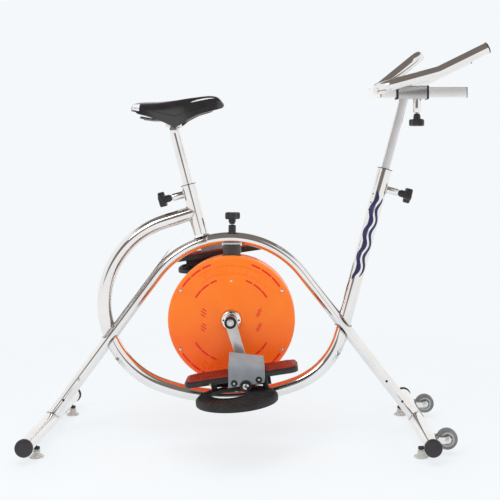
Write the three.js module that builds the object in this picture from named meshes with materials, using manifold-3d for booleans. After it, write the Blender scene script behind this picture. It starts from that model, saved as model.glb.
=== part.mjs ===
// Water exercise bike: a polished stainless tube frame with a drum-cased crank,
// an adjustable saddle post and a handlebar that adjusts for height and reach.
// Millimetres. X runs forwards from the crank axis, Y to the rider's left, Z up from the floor.
import * as THREE from 'three';
import { mergeVertices } from 'three/addons/utils/BufferGeometryUtils.js';
import Module from 'manifold-3d';

const wasm = await Module();
wasm.setup();

// ---------------------------------------------------------------- driving dimensions
const GAP = 0.3; // clearance between pieces that touch
const FIT = 0.4; // clearance of sliding and turning fits
const WALL = 2.2; // tube wall

const CRANK_Z = 340; // height of the crank axis
const FOOT_Z = 45; // height of the transverse foot tubes
const REAR_FOOT_X = -526;
const FRONT_FOOT_X = 537;
const FOOT_HALF = 265; // half length of a foot tube
const PLUG = 17.4; // radius of the end cap inside the tube
const CUP_RADIUS = 20;

const TUBE = 21.2; // radius of the loop, column, seat and foot tubes
const ARCH = 17; // radius of the arch tube
const LEAN = 15; // forward lean of the column, degrees
const SEAT_LEAN = 14.5; // backward lean of the seat tube, degrees

const COLUMN_TOP = new THREE.Vector3(445, 0, 772);
const SEAT_TOP = new THREE.Vector3(-128, 0, 726.5);
const SEAT_TUBE_LENGTH = 149;

// bend programs, as a tube bender reads them: straights in mm, bends as radius and clockwise turn
const COLUMN_BENDS = [{ straight: 470.5 }];
const LOWER_BENDS = [
  { straight: 25.5 }, { radius: 215, turn: 54 }, { radius: 560, turn: 41 }, { radius: 251, turn: 48 },
];
const REAR_BENDS = [{ radius: 251, turn: 95 }, { straight: 93 }];
const ARCH_START = { x: -530, z: FOOT_Z, heading: 53.4 };
const ARCH_BENDS = [{ straight: 522.5 }, { radius: 266, turn: 105.5 }, { straight: 541 }];

const CASE_RADIUS = 182.5; // drum casing
const CASE_HALF = 48;
const CASE_WALL = 3;
const CASE_EYE = 24; // centre hole
const BRAKE_RADIUS = 145; // braked rim inside the casing
const HUB_RADIUS = 21;
const AXLE = 8.7;

const CRANK_LENGTH = 160.5;
const CRANK_ANGLE = 17.2; // of the right crank, forwards of straight down
const ARM_IN = 78; // distances of the crank arm's faces from the centre plane
const ARM_OUT = 92;
const PEDAL_IN = 97;
const PEDAL_OUT = 187;
const PEDAL_TILT = 8.6; // toes up
const PLATFORM_LENGTH = 311;
const PLATFORM_BACK = 10; // platform centre behind the spindle
const PLATFORM_FLOOR = 15; // underside of the platform above the spindle
const PLATFORM_THICK = 14;
const TREAD_THICK = 6;
const SPINDLE = 7;
const STRAP_HALF = 50;
const STRAP_TOP = 82;
const STRAP_THICK = 4;
const SPINDLE_HEAD = PEDAL_OUT + STRAP_THICK + 2 * GAP; // inner face of the spindle's end washer
const DISH_RADIUS = 110;
const DISH_HOLE = 49;
const DISH_BACK = 26; // dish centre behind the spindle
const DISH_DEPTH = 23;
const DISH_TOP = -10; // top face of the dish below the spindle axis
const DISH_DROP = 4.6; // forward slope of the dish from the platform, degrees

const SEAT_POST = 15;
const SEAT_POST_OUT = 165; // post length above the seat tube
const SEAT_POST_IN = 75; // and inside it
const BAR_POST = 24; // side of the square handlebar post
const BAR_POST_IN = 200;
const LINER = TUBE - WALL - 2 * GAP; // outer radius of the plastic liners

const SLEEVE = { back: 482, front: 564, z: 994, side: 37 };
const SLIDE = { back: 433.3, front: 680, side: 30 };
const BAR = 16; // radius of the handlebar tube
const BAR_BEND = 45;

const WHEEL = { x: 590, z: 42, y: 178, radius: 28.5, half: 10 };

const KNOB_HEAD = { radius: 20.5, lobe: 2.5, height: 20 };
const STUD = 4.8;
const STUD_HOLE = STUD + FIT;

// ---------------------------------------------------------------- materials
const finish = (color, roughness, metalness) =>
  () => new THREE.MeshStandardMaterial({ color, roughness, metalness });
const polishedSteel = finish(0xd9d8d6, 0.08, 1.0);
const brushedSteel = finish(0xb9b9b8, 0.35, 1.0);
const darkSteel = finish(0x3c3a3a, 0.4, 0.8);
const castIron = finish(0x55565a, 0.6, 0.9);
const orangePlastic = finish(0xf0701c, 0.35, 0.0);
const blackPlastic = finish(0x17171a, 0.5, 0.0);
const redRubber = finish(0x8a2f22, 0.8, 0.0);
const greyWebbing = finish(0x8b9299, 0.75, 0.0);
const clearRubber = finish(0xd8d8d4, 0.5, 0.0);
const greyRubber = finish(0x77787c, 0.7, 0.0);
const saddleVinyl = finish(0x1c1c1f, 0.45, 0.0);

// ---------------------------------------------------------------- solids
const radians = THREE.MathUtils.degToRad;
const point = (x, y, z) => new THREE.Vector3(x, y, z);

// Position-only copy with shared vertices and no collapsed triangles.
function welded(geometry) {
  const bare = geometry.clone();
  for (const name of Object.keys(bare.attributes)) {
    if (name !== 'position') bare.deleteAttribute(name);
  }
  const merged = mergeVertices(bare, 1e-3);
  const kept = [];
  const index = merged.index.array;
  for (let i = 0; i < index.length; i += 3) {
    const [a, b, c] = index.slice(i, i + 3);
    if (a !== b && b !== c && c !== a) kept.push(a, b, c);
  }
  merged.setIndex(kept);
  return merged;
}

function toSolid(geometry) {
  const { attributes, index } = welded(geometry);
  return new wasm.Manifold(new wasm.Mesh({
    numProp: 3, vertProperties: new Float32Array(attributes.position.array),
    triVerts: new Uint32Array(index.array),
  }));
}

function toGeometry(solid) {
  const { vertProperties, triVerts } = solid.getMesh();
  const geometry = new THREE.BufferGeometry();
  geometry.setAttribute('position', new THREE.BufferAttribute(new Float32Array(vertProperties), 3));
  geometry.setIndex(new THREE.BufferAttribute(new Uint32Array(triVerts), 1));
  geometry.computeVertexNormals();
  return geometry;
}

function join(...geometries) {
  return toGeometry(geometries.map(toSolid).reduce((all, next) => all.add(next)));
}

function cut(geometry, ...tools) {
  return toGeometry(tools.map(toSolid).reduce((all, next) => all.subtract(next), toSolid(geometry)));
}

function common(first, second) {
  return toGeometry(toSolid(first).intersect(toSolid(second)));
}

// The same piece for the other side of the centre plane.
function mirrored(geometry) {
  const copy = welded(geometry);
  copy.scale(1, -1, 1);
  const index = copy.index.array;
  for (let i = 0; i < index.length; i += 3) {
    [index[i + 1], index[i + 2]] = [index[i + 2], index[i + 1]];
  }
  return copy;
}

const forSide = (side, geometry) => (side > 0 ? geometry : mirrored(geometry));

function box(x0, x1, y0, y1, z0, z1) {
  const geometry = new THREE.BoxGeometry(x1 - x0, y1 - y0, z1 - z0);
  return geometry.translate((x0 + x1) / 2, (y0 + y1) / 2, (z0 + z1) / 2);
}

function rod(radius, from, to, sides = 12) {
  const span = to.clone().sub(from);
  const geometry = new THREE.CylinderGeometry(radius, radius, span.length(), sides);
  const turn = new THREE.Quaternion().setFromUnitVectors(point(0, 1, 0), span.clone().normalize());
  return geometry.applyQuaternion(turn).translate(...from.clone().add(to).divideScalar(2).toArray());
}

// Solid of revolution about the Y axis from [radius, y] pairs.
function turned(profile, sides = 18) {
  return new THREE.LatheGeometry(profile.map(([r, y]) => new THREE.Vector2(r, y)), sides);
}

// A closed ring profile from two opposite corners of its section.
function washer(inner, outer, y0, y1, sides = 18) {
  return turned([[inner, y0], [outer, y0], [outer, y1], [inner, y1], [inner, y0]], sides);
}

// Stands a piece made about the Y axis up along Z.
const upright = (geometry) => geometry.rotateX(Math.PI / 2);

function circle(radius, sides) {
  return Array.from({ length: sides }, (_, i) => {
    const angle = ((i + 0.5) / sides) * 2 * Math.PI;
    return new THREE.Vector2(radius * Math.cos(angle), radius * Math.sin(angle));
  });
}

function rectangle(width, height) {
  return [[-1, -1], [1, -1], [1, 1], [-1, 1]].map(
    ([x, y]) => new THREE.Vector2((x * width) / 2, (y * height) / 2),
  );
}

function sweep(route, outline, hole) {
  const shape = new THREE.Shape(outline);
  if (hole) shape.holes.push(new THREE.Path(hole));
  return new THREE.ExtrudeGeometry(shape, {
    steps: route.steps, extrudePath: route, bevelEnabled: false,
  });
}

// Extrudes an outline given in X and Z along Y.
function plate(points, y0, y1) {
  const shape = new THREE.Shape(points.map(([x, z]) => new THREE.Vector2(x, z)));
  const geometry = new THREE.ExtrudeGeometry(shape, { depth: y1 - y0, bevelEnabled: false });
  return geometry.rotateX(Math.PI / 2).translate(0, y1, 0);
}

// ---------------------------------------------------------------- tube paths
const WIDE_STEP = 10; // degrees of arc in one step, on wide bends
const TIGHT_STEP = 18; // and on bends under 100 mm radius
const TUBE_SIDES = 12;

class Arc extends THREE.Curve {
  constructor(centre, spoke, axis, angle) {
    super();
    Object.assign(this, { centre, spoke, axis, angle });
  }

  get stepCount() {
    const step = this.spoke.length() < 100 ? TIGHT_STEP : WIDE_STEP;
    return Math.ceil(THREE.MathUtils.radToDeg(this.angle) / step);
  }

  getPoint(t, target = new THREE.Vector3()) {
    return target.copy(this.spoke).applyAxisAngle(this.axis, this.angle * t).add(this.centre);
  }
}

// A route of straights, taken in one step each, and arcs, taken in several.
class Route extends THREE.Curve {
  constructor() {
    super();
    this.marks = [];
  }

  add(curve) {
    const count = curve instanceof Arc ? curve.stepCount : 1;
    for (let i = 0; i < count; i += 1) this.marks.push([curve, i / count, (i + 1) / count]);
  }

  get steps() {
    return this.marks.length;
  }

  locate(t) {
    const whole = Math.min(Math.floor(t * this.steps + 1e-9), this.steps - 1);
    const [curve, from, to] = this.marks[whole];
    return [curve, THREE.MathUtils.lerp(from, to, Math.min(t * this.steps - whole, 1))];
  }

  getPoint(t, target) {
    const [curve, s] = this.locate(t);
    return curve.getPoint(s, target);
  }

  getPointAt(t, target) {
    return this.getPoint(t, target);
  }

  getTangentAt(t, target) {
    const [curve, s] = this.locate(t);
    return curve.getTangent(s, target);
  }
}

function line(from, to) {
  const route = new Route();
  route.add(new THREE.LineCurve3(from, to));
  return route;
}

// Follows a bend program in the centre plane and returns its route and where it ends.
function bent(start, program) {
  const route = new Route();
  const at = point(start.x, 0, start.z);
  let { heading } = start;
  for (const step of program) {
    const from = at.clone();
    const angle = radians(heading);
    if (step.straight) {
      at.add(point(Math.cos(angle), 0, Math.sin(angle)).multiplyScalar(step.straight));
      route.add(new THREE.LineCurve3(from, at.clone()));
    } else {
      const inward = point(Math.sin(angle), 0, -Math.cos(angle)).multiplyScalar(step.radius);
      const arc = new Arc(from.add(inward), inward.clone().negate(), point(0, 1, 0), radians(step.turn));
      route.add(arc);
      at.copy(arc.getPoint(1));
      heading -= step.turn;
    }
  }
  return { route, end: { x: at.x, z: at.z, heading } };
}

// A polyline in space whose inner corners are rounded to one radius.
function rounded(corners, radius) {
  const route = new Route();
  let from = corners[0];
  for (let i = 1; i < corners.length - 1; i += 1) {
    const incoming = corners[i].clone().sub(corners[i - 1]).normalize();
    const outgoing = corners[i + 1].clone().sub(corners[i]).normalize();
    const axis = incoming.clone().cross(outgoing).normalize();
    const turn = incoming.angleTo(outgoing);
    const start = corners[i].clone().addScaledVector(incoming, -radius * Math.tan(turn / 2));
    const inward = axis.clone().cross(incoming).multiplyScalar(radius);
    route.add(new THREE.LineCurve3(from, start));
    const arc = new Arc(start.clone().add(inward), inward.clone().negate(), axis, turn);
    route.add(arc);
    from = arc.getPoint(1);
  }
  route.add(new THREE.LineCurve3(from, corners.at(-1)));
  return route;
}

const pipe = (route, radius) => sweep(route, circle(radius, TUBE_SIDES), circle(radius - WALL, 8));
const envelope = (route, radius) => sweep(route, circle(radius + GAP, TUBE_SIDES));

// Unit vectors of the column and the seat tube, and across them.
const columnUp = point(Math.sin(radians(LEAN)), 0, Math.cos(radians(LEAN)));
const columnFront = point(Math.cos(radians(LEAN)), 0, -Math.sin(radians(LEAN)));
const seatUp = point(-Math.sin(radians(SEAT_LEAN)), 0, Math.cos(radians(SEAT_LEAN)));
const seatBack = point(-Math.cos(radians(SEAT_LEAN)), 0, -Math.sin(radians(SEAT_LEAN)));
const along = (from, ...steps) => {
  const place = from.clone();
  for (let i = 0; i < steps.length; i += 2) place.addScaledVector(steps[i], steps[i + 1]);
  return place;
};

// ---------------------------------------------------------------- assembly
const bike = new THREE.Group();

function add(name, geometry, material, parent = bike) {
  const mesh = new THREE.Mesh(geometry, material());
  mesh.name = name;
  parent.add(mesh);
  return mesh;
}

const SIDES = [['right', -1], ['left', 1]];

// ---- welded frame
const arch = bent(ARCH_START, ARCH_BENDS);
const archEnvelope = envelope(arch.route, ARCH);
const footAxis = (x, half) => [point(x, -half, FOOT_Z), point(x, half, FOOT_Z)];
const footEnvelope = (x) => rod(TUBE + 3 * GAP, ...footAxis(x, FOOT_HALF), 16);

add('arch_tube', cut(
  pipe(arch.route, ARCH), footEnvelope(REAR_FOOT_X), footEnvelope(FRONT_FOOT_X),
  rod(STUD_HOLE, point(0, 0, 530), point(0, 0, 620), 12),
), polishedSteel);

const column = bent({ x: COLUMN_TOP.x, z: COLUMN_TOP.z, heading: 270 - LEAN }, COLUMN_BENDS);
const lower = bent(column.end, LOWER_BENDS);
const rear = bent(lower.end, REAR_BENDS);

// The loop is cut square to each leg of the arch and saddled onto it.
function legSlot({ x, z }, heading) {
  const slot = new THREE.BoxGeometry(180, 60, 26);
  return slot.rotateY(-radians(heading)).translate(x, 0, z);
}
const frontSlot = legSlot(column.end, ARCH_START.heading - ARCH_BENDS[1].turn);
const rearSlot = legSlot(lower.end, ARCH_START.heading);

const BOSS = { radius: 11, from: 12, to: 53 };
function boss(centre, outward) {
  return rod(BOSS.radius, along(centre, outward, BOSS.from), along(centre, outward, BOSS.to));
}
function bossHole(centre, outward) {
  return rod(STUD_HOLE, along(centre, outward, 10), along(centre, outward, 60), 12);
}
const columnLock = along(COLUMN_TOP, columnUp, -57);
const seatLock = along(SEAT_TOP, seatUp, -25);

// A tube with a knob boss on one side, bored through to the inside.
function bossedTube(tube, lock, outward, core) {
  return cut(join(tube, boss(lock, outward)), core, bossHole(lock, outward));
}
const columnCore = rod(TUBE - WALL, along(COLUMN_TOP, columnUp, -120), along(COLUMN_TOP, columnUp, 5), 16);
add('column_tube', cut(
  bossedTube(pipe(column.route, TUBE), columnLock, columnFront, columnCore),
  frontSlot, archEnvelope,
), polishedSteel);

add('lower_loop_tube', cut(pipe(lower.route, TUBE), frontSlot, rearSlot, archEnvelope), polishedSteel);

const seatFoot = along(SEAT_TOP, seatUp, -SEAT_TUBE_LENGTH);
const seatEnvelope = rod(TUBE + 3 * GAP, along(seatFoot, seatUp, -30), along(SEAT_TOP, seatUp, 30), 16);
add('rear_loop_tube', cut(pipe(rear.route, TUBE), rearSlot, archEnvelope, seatEnvelope), polishedSteel);

const seatCore = rod(TUBE - WALL, along(seatFoot, seatUp, -20), along(SEAT_TOP, seatUp, 5), 16);
add('seat_tube', cut(
  bossedTube(pipe(line(seatFoot, SEAT_TOP), TUBE), seatLock, seatBack, seatCore), archEnvelope,
), polishedSteel);

// Plastic liners that guide the posts in the mouths of the tubes.
add('seat_liner', sweep(
  line(along(SEAT_TOP, seatUp, -18), SEAT_TOP), circle(LINER, 16), circle(SEAT_POST + 2 * FIT, 16),
), blackPlastic);
add('column_liner', sweep(
  line(along(COLUMN_TOP, columnUp, -40), COLUMN_TOP), circle(LINER, 16),
  rectangle(BAR_POST + 2 * FIT, BAR_POST + 2 * FIT),
), blackPlastic);

// ---- feet
add('rear_foot_tube', pipe(line(...footAxis(REAR_FOOT_X, FOOT_HALF)), TUBE), polishedSteel);

// Wheel forks: two cheeks and an axle bolt on each side, welded to the front foot tube.
function wheelFork(side) {
  const y = side * WHEEL.y;
  const reach = WHEEL.half + 1.5;
  const cheeks = [-1, 1].map((edge) => {
    const y0 = y + edge * reach + (edge < 0 ? -3 : 0);
    return join(
      box(FRONT_FOOT_X + 17, WHEEL.x, y0, y0 + 3, WHEEL.z - 10, WHEEL.z + 10),
      rod(10, point(WHEEL.x, y0, WHEEL.z), point(WHEEL.x, y0 + 3, WHEEL.z)),
    );
  });
  const bolt = rod(4, point(WHEEL.x, y - reach - 6, WHEEL.z), point(WHEEL.x, y + reach + 6, WHEEL.z), 12);
  return join(...cheeks, bolt);
}
const frontFootCore = rod(TUBE - WALL, ...footAxis(FRONT_FOOT_X, FOOT_HALF + 5), 8);
add('front_foot_tube', cut(
  join(rod(TUBE, ...footAxis(FRONT_FOOT_X, FOOT_HALF)), wheelFork(-1), wheelFork(1)), frontFootCore,
), polishedSteel);

for (const [place, x, cupX] of [['rear', REAR_FOOT_X, -512], ['front', FRONT_FOOT_X, 517]]) {
  for (const [name, side] of SIDES) {
    const cap = turned([
      [0, -20], [PLUG, -20], [PLUG, GAP],
      [24, GAP], [24, 8], [21, 10.5], [0, 10.5],
    ], 14);
    add(`${place}_end_cap_${name}`, forSide(side, cap.translate(x, FOOT_HALF, FOOT_Z)), blackPlastic);
    const cup = upright(turned([[0, 0], [CUP_RADIUS, 0], [CUP_RADIUS, 2], [10, 12], [8, 36], [0, 36]], 14));
    add(`${place}_suction_cup_${name}`, cut(
      cup.translate(cupX, side * 200, 0), footEnvelope(x),
    ), clearRubber);
  }
}

// ---- crank carrier: brackets on the frame and a plate with the hub shell between them
const hub = (x, y, z) => point(x, y, CRANK_Z + z);
add('top_bracket', cut(
  box(-26, 26, -14, 14, 526, 562), archEnvelope, rod(STUD_HOLE, point(0, 0, 520), point(0, 0, 570), 12),
), darkSteel);
const lowerEnvelope = envelope(lower.route, TUBE);
add('bottom_bracket', cut(box(-24, 24, -14, 14, 124, 156), lowerEnvelope), darkSteel);

const HUB_IN = 14; // left end of the hub shell
add('hanger_plate', cut(
  join(
    box(-25, 25, -19, -14 - GAP, 128, 553),
    rod(HUB_RADIUS, hub(0, -46, 0), hub(0, HUB_IN, 0), 18),
  ),
  rod(16, hub(0, -50, 0), hub(0, HUB_IN + 4, 0), 18),
), darkSteel);
for (const [name, y] of [['right', -44], ['left', 2]]) {
  add(`hub_bearing_${name}`, washer(AXLE + GAP, 16 - GAP, 0, 10).translate(0, y, CRANK_Z), brushedSteel);
}

// ---- drum casing, one shell each side, notched where the carrier plate and brake stud pass
const shell = turned([
  [CASE_RADIUS, GAP], [CASE_RADIUS, 40], [CASE_RADIUS - 6, CASE_HALF], [CASE_EYE, CASE_HALF],
  [CASE_EYE, CASE_HALF - CASE_WALL], [CASE_RADIUS - 9, CASE_HALF - CASE_WALL],
  [CASE_RADIUS - CASE_WALL, 37], [CASE_RADIUS - CASE_WALL, GAP], [CASE_RADIUS, GAP],
], 32).translate(0, 0, CRANK_Z);
for (const [name, side] of SIDES) {
  add(`casing_${name}`, cut(
    forSide(side, shell), box(-28, 28, -22, 9, 495, 530), box(-28, 28, -22, 9, 150, 185),
  ), orangePlastic);
  const flange = washer(AXLE + 2, 27.5, CASE_HALF + GAP, CASE_HALF + 6, 20).translate(0, 0, CRANK_Z);
  add(`hub_flange_${name}`, forSide(side, flange), polishedSteel);
}

// ---- brake: a screw through the arch presses a shoe on the rim of the brake wheel
add('brake_collar', cut(
  rod(11, point(0, 0, 575), point(0, 0, 609)), archEnvelope,
  rod(STUD_HOLE, point(0, 0, 570), point(0, 0, 615), 12),
), blackPlastic);

// A lobed clamping knob with its stud: the head points along +Z from the end of the hub.
function knob(studLength, hubLength) {
  const lobes = Array.from({ length: 20 }, (_, i) => {
    const angle = (i / 20) * 2 * Math.PI;
    const radius = KNOB_HEAD.radius + KNOB_HEAD.lobe * Math.cos(5 * angle);
    return new THREE.Vector2(radius * Math.cos(angle), radius * Math.sin(angle));
  });
  const head = new THREE.ExtrudeGeometry(new THREE.Shape(lobes), {
    depth: KNOB_HEAD.height, bevelEnabled: false,
  }).translate(0, 0, hubLength);
  const stem = rod(8.5, point(0, 0, 0), point(0, 0, hubLength + 4), 10);
  const stud = rod(STUD, point(0, 0, -studLength), point(0, 0, 4), 8);
  return join(head, stem, stud);
}
function addKnob(name, seatPoint, outward, studLength, hubLength) {
  const mesh = add(name, knob(studLength, hubLength), blackPlastic);
  mesh.position.copy(seatPoint);
  mesh.quaternion.setFromUnitVectors(point(0, 0, 1), outward);
}
const SHOE_TOP = 505;
addKnob('brake_knob', point(0, 0, 612), point(0, 0, 1), 612 - SHOE_TOP - 1, 14);

const shoeRim = rod(BRAKE_RADIUS + 2, hub(0, -20, 0), hub(0, 20, 0), 48);
add('brake_shoe', cut(box(-26, 26, -10, 10, 478, SHOE_TOP), shoeRim), blackPlastic);

// ---- crank set
const WEB = 36; // inner face of the brake wheel's web
add('brake_wheel', turned([
  [AXLE + GAP, 18], [20, 18], [20, WEB], [BRAKE_RADIUS - 8, WEB], [BRAKE_RADIUS - 8, -10],
  [BRAKE_RADIUS, -10], [BRAKE_RADIUS, 41], [AXLE + GAP, 41], [AXLE + GAP, 18],
], 26).translate(0, 0, CRANK_Z), castIron);
add('crank_axle', rod(AXLE, hub(0, -ARM_OUT + 1, 0), hub(0, ARM_OUT - 1, 0), 16), brushedSteel);

const armShape = new THREE.Shape();
armShape.absarc(0, 0, 16, 0, Math.PI);
armShape.absarc(0, -CRANK_LENGTH, 13.5, Math.PI, 2 * Math.PI);
for (const [name, side] of SIDES) {
  const crank = new THREE.Group();
  crank.position.z = CRANK_Z;
  crank.rotation.y = radians(side < 0 ? -CRANK_ANGLE : 180 - CRANK_ANGLE);
  bike.add(crank);

  const arm = new THREE.ExtrudeGeometry(armShape, {
    depth: ARM_OUT - ARM_IN, bevelEnabled: false, curveSegments: 5,
  }).rotateX(Math.PI / 2).translate(0, ARM_OUT, 0);
  const eye = (y) => point(0, y, -CRANK_LENGTH);
  add(`crank_arm_${name}`, forSide(side, cut(
    join(arm, rod(15.5, point(0, 58, 0), point(0, PEDAL_IN, 0), 16)),
    rod(AXLE + GAP, point(0, 50, 0), point(0, ARM_OUT, 0), 16), rod(SPINDLE + 2 * GAP, eye(70), eye(100)),
  )), brushedSteel, crank);
  add(`pedal_spindle_${name}`, forSide(side, turned([
    [0, ARM_IN + 1], [SPINDLE, ARM_IN + 1], [SPINDLE, SPINDLE_HEAD], [16.5, SPINDLE_HEAD],
    [16.5, SPINDLE_HEAD + 4], [8, SPINDLE_HEAD + 8], [0, SPINDLE_HEAD + 8],
  ], 16).translate(0, 0, -CRANK_LENGTH)), darkSteel, crank);

  // the pedal hangs level on its spindle whatever the crank does
  const pedal = new THREE.Group();
  const swing = radians(CRANK_ANGLE);
  pedal.position.set(-side * CRANK_LENGTH * Math.sin(swing), 0,
    CRANK_Z + side * CRANK_LENGTH * Math.cos(swing));
  pedal.rotation.y = -radians(PEDAL_TILT);
  bike.add(pedal);
  addPedal(name, side, pedal);
}

// ---- pedals: platform with a hub below it, tread, foot strap and a drag dish underneath
function stadium(length, width, z0, z1, y) {
  const shape = new THREE.Shape();
  const corner = 22;
  const [x, w] = [length / 2 - corner, width / 2 - corner];
  shape.absarc(x, w, corner, 0, Math.PI / 2);
  shape.absarc(-x, w, corner, Math.PI / 2, Math.PI);
  shape.absarc(-x, -w, corner, Math.PI, 1.5 * Math.PI);
  shape.absarc(x, -w, corner, 1.5 * Math.PI, 2 * Math.PI);
  const geometry = new THREE.ExtrudeGeometry(shape, {
    depth: z1 - z0, bevelEnabled: false, curveSegments: 3,
  });
  return geometry.translate(-PLATFORM_BACK, y, z0);
}

function addPedal(name, side, pedal) {
  const width = PEDAL_OUT - PEDAL_IN;
  const middle = (PEDAL_IN + PEDAL_OUT) / 2;
  const deck = PLATFORM_FLOOR + PLATFORM_THICK;
  const rightHand = side > 0 ? (g) => g : mirrored;

  const skin = 4; // the platform is a tray, open underneath
  const tray = cut(
    stadium(PLATFORM_LENGTH, width, PLATFORM_FLOOR, deck, middle),
    stadium(PLATFORM_LENGTH - 2 * skin, width - 2 * skin, PLATFORM_FLOOR - 5, deck - skin, middle),
  );
  add(`pedal_body_${name}`, rightHand(cut(
    join(
      tray,
      rod(13, point(0, PEDAL_IN, 0), point(0, PEDAL_OUT, 0)),
      box(-14, 14, PEDAL_IN, PEDAL_OUT, 2, deck - 1),
    ),
    rod(SPINDLE + 2 * FIT, point(0, PEDAL_IN - 5, 0), point(0, PEDAL_OUT + 5, 0)),
  )), blackPlastic, pedal);

  add(`pedal_tread_${name}`, rightHand(stadium(
    PLATFORM_LENGTH - 8, width - 8, deck + GAP, deck + GAP + TREAD_THICK, middle,
  )), redRubber, pedal);

  // the strap is bolted to the outer side, arches over the foot and lands inside on the tread
  const half = STRAP_THICK / 2;
  const outer = PEDAL_OUT + GAP + half;
  const strapPath = rounded([
    point(0, outer, 2), point(0, outer, 62), point(0, middle, STRAP_TOP + 4),
    point(0, PEDAL_IN + 6, 62), point(0, PEDAL_IN + 9, deck + 2 * GAP + TREAD_THICK),
  ], 24);
  add(`foot_strap_${name}`, rightHand(cut(
    sweep(strapPath, rectangle(STRAP_THICK, 2 * STRAP_HALF)),
    rod(SPINDLE + 2 * FIT, point(0, PEDAL_OUT - 5, 0), point(0, PEDAL_OUT + 15, 0)),
  )), greyWebbing, pedal);

  const dish = cut(
    upright(turned([
      [0, -3.5], [DISH_RADIUS - 8, -9.5], [DISH_RADIUS - 4, -13], [DISH_RADIUS - 4, -DISH_DEPTH],
      [DISH_RADIUS, -DISH_DEPTH], [DISH_RADIUS, -11], [DISH_RADIUS - 6, -5], [0, 0],
    ], 28)),
    rod(DISH_HOLE, point(-19, 0, -20), point(-19, 0, 20), 20),
  ).rotateY(radians(DISH_DROP)).translate(-DISH_BACK, PEDAL_IN + DISH_RADIUS, DISH_TOP);
  const slope = Math.tan(radians(DISH_DROP));
  const posts = [[-88, 158], [52, 168]].map(([x, y]) => rod(
    8, point(x, y, DISH_TOP - 5 - slope * (x + DISH_BACK)), point(x, y, deck - skin - GAP),
  ));
  // notched over the hub and the spindle's end washer
  const notch = rod(17.5, point(0, PEDAL_IN - 7, 0), point(0, SPINDLE_HEAD + 10, 0), 16);
  add(`drag_dish_${name}`, rightHand(cut(join(dish, ...posts), notch)), blackPlastic, pedal);
}

// ---- saddle and its post
const seatHead = along(SEAT_TOP, seatUp, SEAT_POST_OUT); // the tilt pivot
const pivot = (x, y, z) => point(seatHead.x + x, y, seatHead.z + z);
add('seat_post', join(
  pipe(line(along(SEAT_TOP, seatUp, -SEAT_POST_IN), along(seatHead, seatUp, -5)), SEAT_POST),
  rod(11, pivot(0, -20, 0), pivot(0, 20, 0), 14),
), polishedSteel);
addKnob('seat_knob', along(seatLock, seatBack, BOSS.to + 3), seatBack, BOSS.to + 3 - SEAT_POST - 0.6, 18);

const RAIL = 3.5;
const RAIL_Z = 28; // height of the rails above the pivot
const RAIL_Y = 15;
const CLAMP = { x: 22, y: 21, over: 6 }; // half length, half width and height above the rails
add('saddle_clamp', cut(
  box(seatHead.x - CLAMP.x, seatHead.x + CLAMP.x, -CLAMP.y, CLAMP.y,
    seatHead.z + 7, seatHead.z + RAIL_Z + CLAMP.over),
  rod(11 + 2 * FIT, pivot(0, -31, 0), pivot(0, 31, 0), 14),
  rod(RAIL + 2 * FIT, pivot(-30, -RAIL_Y, RAIL_Z), pivot(30, -RAIL_Y, RAIL_Z), 10),
  rod(RAIL + 2 * FIT, pivot(-30, RAIL_Y, RAIL_Z), pivot(30, RAIL_Y, RAIL_Z), 10),
), darkSteel);

const railSide = (side) => [
  pivot(-92, side * 36, RAIL_Z + 5), pivot(-60, side * RAIL_Y, RAIL_Z),
  pivot(40, side * RAIL_Y, RAIL_Z), pivot(72, side * 12, RAIL_Z + 16), pivot(110, side * 10, RAIL_Z + 27),
];
add('saddle_rails', sweep(
  rounded([...railSide(-1), ...railSide(1).reverse()], 9), circle(RAIL, 6),
), brushedSteel);

// The saddle's side view crossed with its plan: a thin shell above the rails, and a pad that
// covers the shell and hangs round it as a skirt.
const crown = [[-287, 944], [-272, 959], [-245, 964], [-208, 965.5], [-165, 971], [-128, 978], [-90, 983],
  [-58, 983.5], [-38, 977], [-26, 964]];
const skirt = [[-24, 952], [-50, 945], [-87, 935], [-124, 917], [-160, 892], [-203, 909], [-254, 927],
  [-284, 937]];
const belly = [[-28, 955], [-90, 941], [-130, 931], [-165, 925], [-210, 922], [-262, 926], [-284, 938]];
const SHELL_THICK = 5;
const SADDLE_MIDDLE = -158;
const slice = (top, bottom) => plate([...top, ...bottom], -90, 90);
const raise = (points, dz) => points.map(([x, z]) => [x, z + dz]);

// The plan, scaled about the middle of the saddle.
function saddlePlan(lengthwise = 1, across = 1) {
  const half = (x) => 21 + 56 / (1 + Math.exp((x + 178) / 26));
  const side = [];
  for (let x = -40; x >= -262; x -= 22.2) side.push([x, half(x)]);
  const edge = [[-30, 15], ...side, [-278, 66], [-286, 48]];
  const outline = [...edge, ...edge.map(([x, y]) => [x, -y]).reverse()];
  const shape = new THREE.Shape(outline.map(([x, y]) => new THREE.Vector2(x - SADDLE_MIDDLE, y)));
  const geometry = new THREE.ExtrudeGeometry(shape, { depth: 110, bevelEnabled: false });
  return geometry.scale(lengthwise, across, 1).translate(SADDLE_MIDDLE, 0, 885);
}
const upBelly = [...belly].reverse();
const shellPlan = saddlePlan(0.88, 0.78);
const hollowPlan = saddlePlan(0.885, 0.8);
add('saddle_shell', common(shellPlan, slice(raise(upBelly, SHELL_THICK), belly)), blackPlastic);
add('saddle_pad', cut(
  common(saddlePlan(), slice(crown, skirt)),
  common(hollowPlan, slice(raise(upBelly, SHELL_THICK + GAP), [[-20, 880], [-295, 880]])),
), saddleVinyl);

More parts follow.
